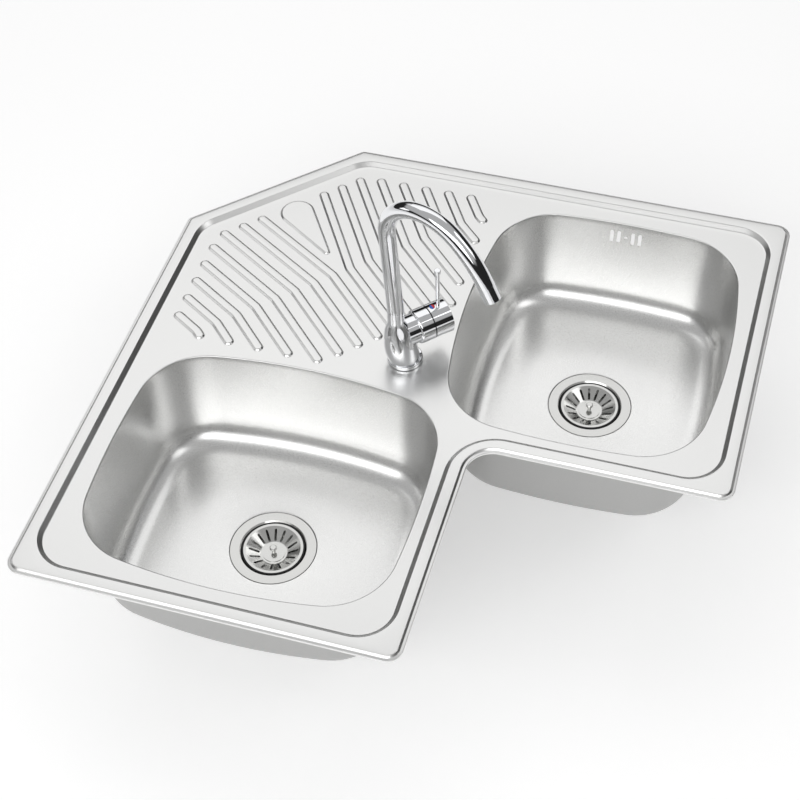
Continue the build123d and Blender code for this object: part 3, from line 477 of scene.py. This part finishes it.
@dataclass
class Sheet:
    """A pressed sheet: rings of points joined into a skin and given a thickness.

    Attributes:
        name: Name of the piece.
        gauge: Thickness of the sheet in millimetres.
        crease: Angle in degrees above which an edge stays sharp.
    """

    name: str
    gauge: float = 1.0
    crease: float = 38.0

    def __post_init__(self) -> None:
        """Start an empty skin."""
        self.skin = bmesh.new()

    def ring(self, plan: Outline, level: float) -> Ring:
        """Add a ring of points at a level in millimetres."""
        return [self.skin.verts.new((p.real * MM, p.imag * MM, level * MM)) for p in plan]

    def join(self, outer: Ring, inner: Ring) -> None:
        """Join two rings of as many points with a band of faces.

        Args:
            outer: The ring outside, anticlockwise seen from above.
            inner: The ring inside it.
        """
        for i, _ in enumerate(outer):
            k = (i + 1) % len(outer)
            self.skin.faces.new((outer[i], outer[k], inner[k], inner[i]))

    def stack(self, plans: Sequence[Outline], levels: Sequence[float]) -> list[Ring]:
        """Join rings in order from the outside in.

        Args:
            plans: Plan of each ring.
            levels: Level of each ring.

        Returns:
            The rings' points.
        """
        rings = [self.ring(plan, level) for plan, level in zip(plans, levels)]
        for outer, inner in zip(rings, rings[1:]):
            self.join(outer, inner)
        return rings

    def flat(self, outer: Ring, holes: Sequence[Ring]) -> None:
        """Fill the flat sheet between a ring and the holes in it.

        Args:
            outer: The ring outside.
            holes: Rings that the sheet leaves open.
        """
        loops = [outer, *holes]
        points = [vert for loop in loops for vert in loop]
        faces, first = [], 0
        for loop in loops:
            faces.append(list(range(first, first + len(loop))))
            first += len(loop)
        plan = [vert.co.xy for vert in points]
        filled = delaunay_2d_cdt(plan, [], faces, INSIDE_WITH_HOLES, SAME_SPOT)
        spots, _, triangles, origins, *_ = filled
        level = outer[0].co.z
        made = [
            points[known[0]] if known else self.skin.verts.new((*spot, level))
            for spot, known in zip(spots, origins)
        ]
        for triangle in triangles:
            self.skin.faces.new([made[i] for i in triangle])

    def finish(self, materials: Sequence[bpy.types.Material]) -> bpy.types.Object:
        """Thicken the skin downwards and make the piece.

        Args:
            materials: Materials by number.

        Returns:
            The piece.
        """
        bmesh.ops.remove_doubles(self.skin, verts=self.skin.verts, dist=WELD * MM)
        self.skin.normal_update()
        mesh = bpy.data.meshes.new(self.name)
        self.skin.to_mesh(mesh)
        self.skin.free()
        for material in materials:
            mesh.materials.append(material)
        piece = bpy.data.objects.new(self.name, mesh)
        bpy.context.scene.collection.objects.link(piece)
        thick = piece.modifiers.new("gauge", "SOLIDIFY")
        thick.thickness = self.gauge * MM
        thick.offset = -1.0
        thick.use_even_offset = True
        return piece


def settle(piece: bpy.types.Object, crease: float) -> None:
    """Apply a piece's modifiers and shade it smooth between its sharp edges.

    Args:
        piece: The piece.
        crease: Angle in degrees above which an edge stays sharp.
    """
    graph = bpy.context.evaluated_depsgraph_get()
    graph.update()
    made = bpy.data.meshes.new_from_object(piece.evaluated_get(graph), depsgraph=graph)
    piece.modifiers.clear()
    piece.data = made
    made.shade_smooth()
    made.set_sharp_from_angle(angle=math.radians(crease))


def adopt(piece: bpy.types.Object, node: str) -> None:
    """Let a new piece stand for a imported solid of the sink's body.

    Args:
        piece: The piece.
        node: Name of the solid it replaces.
    """
    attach(piece, Body.SINK.value)
    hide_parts(node)
    log.info("%s replaces %s", piece.name, node)


@dataclass
class Mouth:
    """Bowed rectangle with round corners that both the top and a bowl follow.

    Attributes:
        centre: Plan point of its middle.
        upright: Whether its length runs along Y.
        length: Length over the bows.
        width: Width over the bows.
        corner: Radius of its corners.
        long_bow: How far the middle of a long side stands beyond its corners.
        short_bow: The same for a short side.
        samples: Points along each side and each corner.
    """

    centre: complex
    upright: bool
    length: float = 409.0
    width: float = 358.0
    corner: float = 88.0
    long_bow: float = 22.8
    short_bow: float = 11.1
    samples: int = 22

    def __post_init__(self) -> None:
        """Work out the points of the edge and the outward direction at each."""
        x = self.length / 2 - self.short_bow
        y = self.width / 2 - self.long_bow
        long_r = (x * x + self.long_bow**2) / (2 * self.long_bow)
        short_r = (y * y + self.short_bow**2) / (2 * self.short_bow)
        long_up = self.width / 2 - long_r
        short_along = self.length / 2 - short_r
        # The corner's middle is where two circles cross, one round each side's own middle.
        a, b = long_r - self.corner, short_r - self.corner
        apart = math.hypot(short_along, long_up)
        along = (a * a - b * b + apart * apart) / (2 * apart)
        rise = math.sqrt(a * a - along * along)
        way = complex(short_along, -long_up) / apart
        options = [complex(0, long_up) + way * complex(along, s * rise) for s in (-1, 1)]
        corner = max(options, key=lambda p: p.real + p.imag)
        lean = cmath.phase(corner - complex(0, long_up))
        tilt = cmath.phase(corner - complex(short_along, 0))
        quarter = self.arc(complex(short_along, 0), short_r, 0.0, tilt)
        quarter += self.arc(corner, self.corner, tilt, lean)
        quarter += self.arc(complex(0, long_up), long_r, lean, math.pi / 2)
        half = quarter + [(-p.conjugate(), -n.conjugate()) for p, n in reversed(quarter[:-1])]
        whole = half + [(p.conjugate(), n.conjugate()) for p, n in reversed(half[1:-1])]
        turn = 1j if self.upright else 1
        self.edge = [(self.centre + p * turn, n * turn) for p, n in whole]

    def arc(
        self, centre: complex, radius: float, start: float, end: float
    ) -> list[tuple[complex, complex]]:
        """Sample an arc without its last point unless it ends the quarter.

        Args:
            centre: Middle of the arc.
            radius: Radius of the arc.
            start: Angle of its start, in radians.
            end: Angle of its end, in radians.

        Returns:
            Pairs of a point and the outward direction there.
        """
        count = self.samples + (1 if end == math.pi / 2 else 0)
        angles = [start + (end - start) * k / self.samples for k in range(count)]
        return [(centre + cmath.rect(radius, a), cmath.rect(1.0, a)) for a in angles]

    def inset(self, by: float) -> Outline:
        """Give the outline drawn in by so many millimetres."""
        return [p - n * by for p, n in self.edge]

    def circle(self, radius: float) -> Outline:
        """Give a circle round the middle with a point on each ray to the outline."""
        rays = [p - self.centre for p, _ in self.edge]
        return [self.centre + ray / abs(ray) * radius for ray in rays]


@dataclass
class Top:
    """L-shaped top pressed from one sheet: lip, raised rim, pan and drainer.

    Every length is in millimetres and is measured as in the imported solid.

    Attributes:
        side: Length along each wall.
        leg: Depth of each leg from its wall.
        chamfer: Length cut from the corner of the room, along each wall.
        tap_inset: Distance of the tap hole from each wall edge.
        pan: Level of the flat pan.
        steps: Steps in each corner of the outline.
        rim: Section of the rim, from the outer edge in to the pan.
        flat_from: Distance in at which the flat of the pan starts.
        convex: Plan radius of the four corners that stick out, by distance in.
        blunt: The same for the two corners at the chamfer.
        inner: The same for the corner inside the L.
        rib_count: Drainer ribs on each side of the diagonal.
        rib_half: Half the width of a rib at its foot.
        rib_rise: Height of a rib's middle above the pan.
        rib_start: Distance of the first rib from the diagonal.
        rib_pitch: Distance from rib to rib.
        rib_splay: Slope of the ribs' upper ends, in degrees.
        rib_bend: Radius of the kink in a rib.
        rib_bend_steps: Steps in that kink.
        rib_end_steps: Steps in the round end of a rib.
        kink_from_room: Distance of the kinks from the corner of the room.
        rib_top_from_room: The same for the upper ends by the chamfer.
        rib_wall_gap: Distance of the other upper ends from the wall edge.
        rib_mouth_gap: Distance of the lower ends from a bowl's mouth.
        rib_tap_gap: Distance of the other lower ends from the tap.
        raised: Section of a raised form from its foot in, with levels above the pan.
        apron: Width of the flat strip round each form and mouth.
        drop_from_room: Distance of the teardrop's wide end from the corner of the room.
        drop_length: Distance between the middles of its two round ends.
        drop_r: Radius of its wide end.
        drop_tip_r: Radius of its tip.
        drop_crown: Distance in from its foot at which it is flat.
        drop_tip_steps: Steps round its tip.
        drop_steps: Steps round its wide end.
        hole_r: Radius of the tap hole.
        hole_steps: Steps round the tap hole.
        roll: Radius of the edge rolled down into a bowl's mouth.
        roll_steps: Steps in that edge.
    """

    side: float = 830.0
    leg: float = 500.0
    chamfer: float = 200.0
    tap_inset: float = 373.5
    pan: float = -1.0
    steps: int = 16
    rim: tuple[Bend, ...] = (
        Bend(0.0, 0.0),
        Bend(0.5, 2.2, 0.7, 4),
        Bend(3.9, 2.4, 0.9, 4),
        Bend(6.3, 5.0, 1.4, 5),
        Bend(20.0, 5.0, 2.6, 6),
        Bend(26.0, -1.0, 2.6, 6),
        Bend(28.5, -1.0),
    )
    flat_from: float = 29.2
    convex: Keys = ((0.0, 20.0), (6.5, 13.5), (20.0, 50.0), (26.0, 44.0), (30.0, 40.0))
    blunt: Keys = ((0.0, 8.0), (6.5, 5.0), (20.0, 50.0), (26.0, 44.0), (30.0, 40.0))
    inner: Keys = ((0.0, 35.0), (6.5, 41.5), (20.0, 60.0), (26.0, 66.0), (30.0, 70.0))
    rib_count: int = 8
    rib_half: float = 7.75
    rib_rise: float = 2.8
    rib_start: float = 13.3
    rib_pitch: float = 29.6
    rib_splay: float = 31.5
    rib_bend: float = 26.0
    rib_bend_steps: int = 8
    rib_end_steps: int = 10
    kink_from_room: float = 344.4
    rib_top_from_room: float = 193.5
    rib_wall_gap: float = 54.0
    rib_mouth_gap: float = 20.6
    rib_tap_gap: float = 53.0
    raised: tuple[Bend, ...] = (Bend(0.0, 0.0), Bend(0.7, 0.0, 1.2, 4), Bend(3.0, 2.6, 2.2, 5))
    apron: float = 0.7
    drop_from_room: float = 207.0
    drop_length: float = 92.0
    drop_r: float = 25.0
    drop_tip_r: float = 5.5
    drop_crown: float = 5.0
    drop_tip_steps: int = 12
    drop_steps: int = 30
    hole_r: float = 17.5
    hole_steps: int = 48
    roll: float = 2.2
    roll_steps: int = 6

    def plan(self, from_left: float, from_back: float) -> complex:
        """Give the plan point at these distances from the two wall edges."""
        return complex(from_left - self.tap_inset, self.tap_inset - from_back)

    def outline(self, inset: float) -> Outline:
        """Give the L-shaped outline drawn in by so many millimetres."""
        far, leg = self.side - inset, self.leg - inset
        cut = self.chamfer + (ROOT_2 - 1) * inset
        corners = [
            self.plan(inset, cut),
            self.plan(inset, far),
            self.plan(leg, far),
            self.plan(leg, leg),
            self.plan(far, leg),
            self.plan(far, inset),
            self.plan(cut, inset),
        ]
        blunt, convex, inner = (between(k, inset) for k in (self.blunt, self.convex, self.inner))
        radii = [blunt, convex, convex, inner, convex, convex, blunt]
        return rounded(corners, radii, [self.steps] * 7, closed=True)

    def on_diagonal(self, from_room: float, across: float) -> complex:
        """Give the point so far from the room's corner and so far left of the diagonal."""
        room = self.plan(0.0, 0.0)
        return room + complex(1, -1) * from_room / ROOT_2 - complex(1, 1) * across / ROOT_2

    def rib_path(self, index: int, mouth: Mouth) -> Outline:
        """Centre line of a left-hand rib.

        Args:
            index: Number of the rib from the diagonal outwards.
            mouth: The left-hand mouth, which the ribs stop short of.

        Returns:
            Points of the line from its upper end, with the kink rounded.
        """
        kink = self.on_diagonal(self.kink_from_room, self.rib_start + index * self.rib_pitch)
        splay = math.radians(self.rib_splay)
        room = self.plan(0.0, 0.0)
        to_wall = (kink.real - room.real - self.rib_wall_gap) / math.cos(splay)
        to_blunt = (self.kink_from_room - self.rib_top_from_room) / math.cos(math.pi / 4 - splay)
        top = kink + complex(-math.cos(splay), math.sin(splay)) * min(to_wall, to_blunt)
        mouth_top = mouth.centre.imag + mouth.width / 2
        to_mouth = (kink.imag - mouth_top - self.rib_mouth_gap) * ROOT_2
        to_tap = self.tap_inset * ROOT_2 - self.rib_tap_gap - self.kink_from_room
        bottom = kink + complex(1, -1) * min(to_mouth, to_tap) / ROOT_2
        steps = [0, self.rib_bend_steps, 0]
        return rounded([top, kink, bottom], [0.0, self.rib_bend, 0.0], steps, closed=False)

    def rib_plan(self, path: Outline, inset: float) -> Outline:
        """Round-ended plan of a rib.

        Args:
            path: The rib's centre line.
            inset: How far the plan is drawn in from the rib's foot.

        Returns:
            Points of the plan, anticlockwise.
        """
        half = self.rib_half - inset
        ways = [b - a for a, b in zip(path, path[1:])]
        ways = [w / abs(w) for w in ways]
        runs = [ways[0]] + [(a + b) / abs(a + b) for a, b in zip(ways, ways[1:])] + [ways[-1]]
        right = [p - 1j * run * half for p, run in zip(path, runs)]
        left = [p + 1j * run * half for p, run in zip(path, runs)]
        count = self.rib_end_steps
        arc = [cmath.rect(half, math.pi * (k / count - 0.5)) for k in range(1, count)]
        end = [path[-1] + a * ways[-1] for a in arc]
        start = [path[0] - a * ways[0] for a in arc]
        return right + end + list(reversed(left)) + start

    def drop_plan(self, inset: float) -> Outline:
        """Give the plan of the teardrop drawn in by so many millimetres, anticlockwise."""
        wide = self.on_diagonal(self.drop_from_room, 0.0)
        tip = self.on_diagonal(self.drop_from_room + self.drop_length, 0.0)
        way = (tip - wide) / abs(tip - wide)
        half = math.acos((self.drop_r - self.drop_tip_r) / self.drop_length)
        steps, rest = self.drop_tip_steps, 2 * (math.pi - half)
        turns = [half * (2 * k / steps - 1) for k in range(steps + 1)]
        points = [tip + way * cmath.rect(self.drop_tip_r - inset, turn) for turn in turns]
        turns = [half + rest * k / self.drop_steps for k in range(self.drop_steps + 1)]
        return points + [wide + way * cmath.rect(self.drop_r - inset, turn) for turn in turns]

    def raise_form(self, sheet: Sheet, plan_at: PlanAt, crown: float) -> Ring:
        """Press a raised form into the pan.

        Args:
            sheet: The sheet being pressed.
            plan_at: Gives the form's plan for a distance in from its foot.
            crown: Distance in at which the form is closed: the middle of a rib, whose two
                sides meet there, or short of it on a wider form, which is filled flat.

        Returns:
            The ring at the edge of its apron, which the flat pan meets.
        """
        bends = [*self.raised, Bend(self.rib_half, self.rib_rise)]
        section = [(inset, self.pan + rise) for inset, rise in pressed(bends)]
        rings = [(-self.apron, self.pan)] + [ring for ring in section if ring[0] < crown]
        rings.append((crown, rings[-1][1]))
        made = sheet.stack([plan_at(inset) for inset, _ in rings], [level for _, level in rings])
        if crown < self.rib_half:
            sheet.skin.faces.new(made[-1])
        return made[0]

    def build(self, mouths: Sequence[Mouth]) -> bpy.types.Object:
        """Press the whole top.

        Args:
            mouths: The left-hand and the right-hand mouth.

        Returns:
            The piece.
        """
        sheet = Sheet("top_pressed")
        rings = pressed(self.rim) + [(self.flat_from, self.pan)]
        plans = [self.outline(inset) for inset, _ in rings]
        edge = sheet.stack(plans, [level for _, level in rings])[-1]
        holes = [self.rim_mouth(sheet, mouth) for mouth in mouths]
        for index in range(self.rib_count):
            path = self.rib_path(index, mouths[0])
            mirrored = [complex(-p.imag, -p.real) for p in reversed(path)]
            for line in (path, mirrored):
                holes.append(self.raise_form(sheet, partial(self.rib_plan, line), self.rib_half))
        holes.append(self.raise_form(sheet, self.drop_plan, self.drop_crown))
        turns = [math.tau * k / self.hole_steps for k in range(self.hole_steps)]
        holes.append(sheet.ring([cmath.rect(self.hole_r, turn) for turn in turns], self.pan))
        sheet.flat(edge, holes)
        bmesh.ops.recalc_face_normals(sheet.skin, faces=sheet.skin.faces)
        piece = sheet.finish([SATIN_SHEET.material()])
        settle(piece, sheet.crease)
        return piece

    def rim_mouth(self, sheet: Sheet, mouth: Mouth) -> Ring:
        """Roll the pan down round a mouth.

        Args:
            sheet: The sheet being pressed.
            mouth: The mouth.

        Returns:
            The ring that the flat pan meets.
        """
        insets, levels = [-self.roll - self.apron], [self.pan]
        for k in range(self.roll_steps + 1):
            turn = math.pi / 2 * k / self.roll_steps
            insets.append(-self.roll + self.roll * math.sin(turn))
            levels.append(self.pan - self.roll * (1 - math.cos(turn)))
        return sheet.stack([mouth.inset(inset) for inset in insets], levels)[0]


@dataclass
class Bowl:
    """Deep-drawn bowl with a recess for the waste.

    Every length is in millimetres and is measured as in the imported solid.

    Attributes:
        mouth: The mouth that the bowl hangs in.
        name: Name of the piece.
        overflow: Whether the back wall has the overflow slots and their screw's hole.
        top: Level of the flange, under the top.
        depth: Depth of the floor below the flange.
        draw: How far the wall leans in on its way down.
        seam: How far the bowl's edge stands back from the mouth's.
        flange: Width of the flange.
        lip_r: Radius of the bend from flange to wall.
        lip_steps: Steps in that bend.
        floor_r: Radius of the bend from wall to floor.
        floor_steps: Steps in that bend.
        wall_rings: Level rings that the wall is cut into.
        fall: How far the floor falls towards the waste.
        fall_r: Radius at which the fall starts.
        fall_rings: Rings in the fall.
        lead: How far outside the recess its section starts.
        lead_rise: Height of that start above the end of the fall.
        recess_r: Radius of the recess.
        recess_depth: Depth of the recess.
        recess_bend: Radius of the bends at its edge and foot.
        recess_steps: Steps in each of those bends.
        seat_r: Radius of the hole in the middle.
        slot_width: Width of an overflow slot.
        slot_height: Height of a slot.
        slot_pitch: Distance from slot to slot, and to the screw's hole.
        slot_level: Level of the slots' middles.
        slot_steps: Steps in each round end.
        screw_r: Radius of the screw's hole.
    """

    mouth: Mouth
    name: str
    overflow: bool = False
    top: float = -2.0
    depth: float = 156.0
    draw: float = 9.0
    seam: float = 0.4
    flange: float = 3.0
    lip_r: float = 0.9
    lip_steps: int = 4
    floor_r: float = 34.0
    floor_steps: int = 16
    wall_rings: int = 16
    fall: float = 4.0
    fall_r: float = 128.0
    fall_rings: int = 12
    lead: float = 3.0
    lead_rise: float = 0.34
    recess_r: float = 58.5
    recess_depth: float = 2.5
    recess_bend: float = 0.8
    recess_steps: int = 5
    seat_r: float = 45.0
    slot_width: float = 4.8
    slot_height: float = 22.0
    slot_pitch: float = 10.1
    slot_level: float = -27.0
    slot_steps: int = 12
    screw_r: float = 2.5

    def build(self) -> bpy.types.Object:
        """Draw the bowl.

        Returns:
            The piece.
        """
        sheet = Sheet(self.name)
        plans, levels = self.wall_and_floor()
        floor = self.top - self.depth
        plans.append([(a + b) / 2 for a, b in zip(plans[-1], self.mouth.circle(self.fall_r))])
        levels.append(floor)
        for k in range(self.fall_rings):
            share = k / self.fall_rings
            radius = self.fall_r + (self.recess_r - self.fall_r) * share
            plans.append(self.mouth.circle(radius))
            levels.append(floor - self.fall * share**2)
        drain = floor - self.fall
        seat = drain - self.recess_depth
        recess = [
            Bend(self.recess_r + self.lead, drain + self.lead_rise),
            Bend(self.recess_r, drain, self.recess_bend, self.recess_steps),
            Bend(self.recess_r, seat, self.recess_bend, self.recess_steps),
            Bend(self.seat_r, seat),
        ]
        for radius, level in pressed(recess):
            plans.append(self.mouth.circle(radius))
            levels.append(level)
        sheet.stack(plans, levels)
        bmesh.ops.recalc_face_normals(sheet.skin, faces=sheet.skin.faces)
        sheet.skin.normal_update()
        if min(sheet.skin.faces, key=lambda f: f.calc_center_median().z).normal.z < 0:
            bmesh.ops.reverse_faces(sheet.skin, faces=sheet.skin.faces)
        piece = sheet.finish([BRUSHED_BOWL.material(), DRAWN_OUTSIDE.material()])
        piece.modifiers["gauge"].material_offset = 1
        cutters = self.slots() if self.overflow else []
        for cutter in cutters:
            cut = piece.modifiers.new("slot", "BOOLEAN")
            cut.object = cutter
            cut.solver = "EXACT"
        settle(piece, sheet.crease)
        for cutter in cutters:
            bpy.data.objects.remove(cutter)
        return piece

    def wall_and_floor(self) -> tuple[list[Outline], list[float]]:
        """Give the rings from the flange under the top down to the flat of the floor.

        Returns:
            Plan and level of each ring.
        """
        floor = self.top - self.depth
        foot = self.draw - self.seam
        bends = [
            Bend(-self.seam - self.flange, self.top),
            Bend(-self.seam, self.top, self.lip_r, self.lip_steps),
            Bend(foot, floor, self.floor_r, self.floor_steps),
            Bend(foot + self.floor_r, floor),
        ]
        path = [complex(inset, level) for inset, level in pressed(bends)]
        # The wall is the longest run. It is cut into level rings, so that the slots punched in
        # it disturb the shading round them and no further.
        end = max(range(1, len(path)), key=lambda i: abs(path[i] - path[i - 1]))
        start, run = path[end - 1], path[end] - path[end - 1]
        path[end:end] = [start + run * k / self.wall_rings for k in range(1, self.wall_rings)]
        return [self.mouth.inset(p.real) for p in path], [p.imag for p in path]

    def slots(self) -> list[bpy.types.Object]:
        """Make the bars that punch the overflow slots and the screw's hole.

        Returns:
            The bars, which run through the back wall.
        """
        wall = self.mouth.centre.imag + self.mouth.length / 2
        straight = (self.slot_height - self.slot_width) / 2
        bars = []
        # Two slots, the screw's hole and two slots, in one row.
        for step in range(-2, 3):
            radius = self.slot_width / 2 if step else self.screw_r
            reach = straight if step else 0.0
            turns = [math.pi * k / self.slot_steps for k in range(self.slot_steps + 1)]
            arc = [cmath.rect(radius, turn) for turn in turns]
            plan = [a + 1j * reach for a in arc] + [-a - 1j * reach for a in arc]
            shape = bmesh.new()
            middle = complex(self.mouth.centre.real + step * self.slot_pitch, self.slot_level)
            ends = []
            for y in (wall - 2 * self.draw, wall + self.draw):
                spots = [((middle + p).real * MM, y * MM, (middle + p).imag * MM) for p in plan]
                ends.append([shape.verts.new(spot) for spot in spots])
            for i, _ in enumerate(plan):
                k = (i + 1) % len(plan)
                shape.faces.new((ends[0][i], ends[0][k], ends[1][k], ends[1][i]))
            shape.faces.new(ends[0])
            shape.faces.new(ends[1])
            bmesh.ops.remove_doubles(shape, verts=shape.verts, dist=WELD * MM)
            bmesh.ops.recalc_face_normals(shape, faces=shape.faces)
            mesh = bpy.data.meshes.new("slot_bar")
            shape.to_mesh(mesh)
            shape.free()
            bar = bpy.data.objects.new("slot_bar", mesh)
            bpy.context.scene.collection.objects.link(bar)
            bars.append(bar)
        return bars


# --- Studio ------------------------------------------------------------------------------
@dataclass(frozen=True)
class Softbox:
    """A square or oblong lamp that faces the sink.

    Attributes:
        name: Name of the lamp.
        way: Direction from the sink to the lamp.
        distance: How far off it hangs, in metres.
        width: Its width in metres.
        height: Its height in metres.
        glow: Brightness of its face, where one is white.
    """

    name: str
    way: tuple[float, float, float]
    distance: float
    width: float
    height: float
    glow: float

    def hang(self) -> None:
        """Hang the lamp."""
        lamp = bpy.data.lights.new(self.name, "AREA")
        lamp.shape = "RECTANGLE"
        lamp.size, lamp.size_y = self.width, self.height
        lamp.energy = math.pi * self.width * self.height * self.glow
        holder = bpy.data.objects.new(self.name, lamp)
        bpy.context.scene.collection.objects.link(holder)
        way = Vector(self.way).normalized()
        turn = way.to_track_quat("Z", "Y").to_matrix().to_4x4()
        holder.matrix_world = Matrix.Translation(way * self.distance) @ turn


@dataclass
class Studio:
    """Pale floor, soft light and the camera.

    Attributes:
        azimuth: Where the camera stands round the sink, in degrees.
        elevation: How far above the horizon it stands, in degrees.
        roll: How far it is rolled, in degrees.
        lens: Focal length in millimetres.
        place: Where it stands, in millimetres.
        sight: How far it sees, in metres.
        paper: sRGB hex colour of the floor.
        paper_roughness: Roughness of the floor.
        floor_half: Half the side of the floor, in millimetres.
        floor_gap: How far the floor lies under the lowest piece, in millimetres.
        floor_lift: Brightness that the floor shows on top of what falls on it.
        skirting: Brightness of the dark cloth round the foot of the light tent.
        tent: Brightness of the tent above the cloth.
        edge: Height, measured along the lean, at which the cloth ends and the tent is at full.
        lean: Direction that the height is measured along. The cloth hangs higher at the back.
        softboxes: The lamps.
    """

    azimuth: float = 18.424
    elevation: float = 49.771
    roll: float = -2.545
    lens: float = 77.714
    place: tuple[float, float, float] = (472.12, -1446.19, 1711.93)
    sight: float = 200.0
    paper: str = "#F7F7F7"
    paper_roughness: float = 0.9
    floor_half: float = 60000.0
    floor_gap: float = 1.0
    floor_lift: float = 0.37
    skirting: float = 0.02
    tent: float = 0.46
    edge: tuple[float, float] = (0.42, 0.52)
    lean: tuple[float, float, float] = (-0.10, -0.17, 1.0)
    softboxes: tuple[Softbox, ...] = (
        Softbox("softbox_back", (-0.22, 0.60, 0.77), 3.0, 3.4, 2.4, 0.68),
        Softbox("softbox_front", (-0.04, -0.79, 0.61), 3.0, 3.4, 1.3, 2.2),
        Softbox("softbox_right", (0.70, 0.05, 0.71), 3.0, 1.0, 1.4, 1.3),
        Softbox("softbox_left", (-0.92, -0.18, 0.30), 3.0, 0.9, 0.6, 1.3),
    )

    def stand_camera(self) -> None:
        """Put the camera where the photograph was taken from."""
        az, el = math.radians(self.azimuth), math.radians(self.elevation)
        back = Vector((math.sin(az) * math.cos(el), -math.cos(az) * math.cos(el), math.sin(el)))
        camera = bpy.data.objects.new("camera", bpy.data.cameras.new("camera"))
        bpy.context.scene.collection.objects.link(camera)
        camera.data.lens = self.lens
        camera.data.clip_end = self.sight
        turn = (-back).to_track_quat("-Z", "Y").to_matrix()
        turn @= Matrix.Rotation(math.radians(self.roll), 3, "Z")
        camera.matrix_world = Matrix.Translation(Vector(self.place) * MM) @ turn.to_4x4()
        bpy.context.scene.camera = camera

    def lay_floor(self, level: float) -> None:
        """Lay the floor just under the lowest piece.

        Args:
            level: Height of the lowest piece, in metres.
        """
        mesh = bpy.data.meshes.new("floor")
        half = self.floor_half * MM
        height = level - self.floor_gap * MM
        corners = ((-half, -half), (half, -half), (half, half), (-half, half))
        mesh.from_pydata([(x, y, height) for x, y in corners], [], [(0, 1, 2, 3)])
        floor = bpy.data.objects.new("floor", mesh)
        bpy.context.scene.collection.objects.link(floor)
        floor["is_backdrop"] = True
        paint = bpy.data.materials.new("floor_paper_white")
        paint.use_nodes = True
        tree = paint.node_tree
        shader = tree.nodes["Principled BSDF"]
        shader.inputs["Base Color"].default_value = linear(self.paper)
        shader.inputs["Roughness"].default_value = self.paper_roughness
        shader.inputs["Specular IOR Level"].default_value = 0.0
        shader.inputs["Emission Color"].default_value = (1.0, 1.0, 1.0, 1.0)
        path = add_node(tree, "ShaderNodeLightPath").outputs
        lift = path["Is Camera Ray"]
        for step, other in (
            ("ADD", path["Is Glossy Ray"]),
            ("ADD", path["Is Transmission Ray"]),
            ("MULTIPLY", self.floor_lift),
        ):
            lift = add_node(tree, "ShaderNodeMath", operation=step, i0=lift, i1=other).outputs[0]
        tree.links.new(lift, shader.inputs["Emission Strength"])
        mesh.materials.append(paint)

    def light(self) -> None:
        """Pitch the light tent with dark cloth round its foot, and hang the lamps."""
        world = bpy.data.worlds.new("studio")
        bpy.context.scene.world = world
        world.use_nodes = True
        tree = world.node_tree
        way = add_node(tree, "ShaderNodeTexCoord").outputs["Generated"]
        height = add_node(
            tree, "ShaderNodeVectorMath", operation="DOT_PRODUCT", i0=way, i1=self.lean
        ).outputs["Value"]
        room = add_node(
            tree,
            "ShaderNodeMapRange",
            interpolation_type="SMOOTHSTEP",
            Value=height,
            From_Min=self.edge[0],
            From_Max=self.edge[1],
            To_Min=self.skirting,
            To_Max=self.tent,
        )
        tree.links.new(room.outputs["Result"], tree.nodes["Background"].inputs["Strength"])
        tree.nodes["Background"].inputs["Color"].default_value = (1.0, 1.0, 1.0, 1.0)
        for softbox in self.softboxes:
            softbox.hang()


def main() -> None:
    """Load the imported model, dress it and set the studio round it."""
    logging.basicConfig(level=logging.INFO, format="%(name)s: %(message)s")
    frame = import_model()
    solid_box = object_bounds()
    bpy.context.scene.view_settings.view_transform = "Standard"
    studio = Studio()
    studio.stand_camera()
    dress_solids(frame["nodes"])
    mouths = (Mouth(LEFT_BOWL, upright=False), Mouth(RIGHT_BOWL, upright=True))
    adopt(Top().build(mouths), "deck")
    adopt(Bowl(mouths[0], "bowl_left_drawn").build(), "bowl_left")
    adopt(Bowl(mouths[1], "bowl_right_drawn", overflow=True).build(), "bowl_right")
    studio.lay_floor(solid_box[0].z)
    studio.light()


if __name__ == "__main__":
    main()
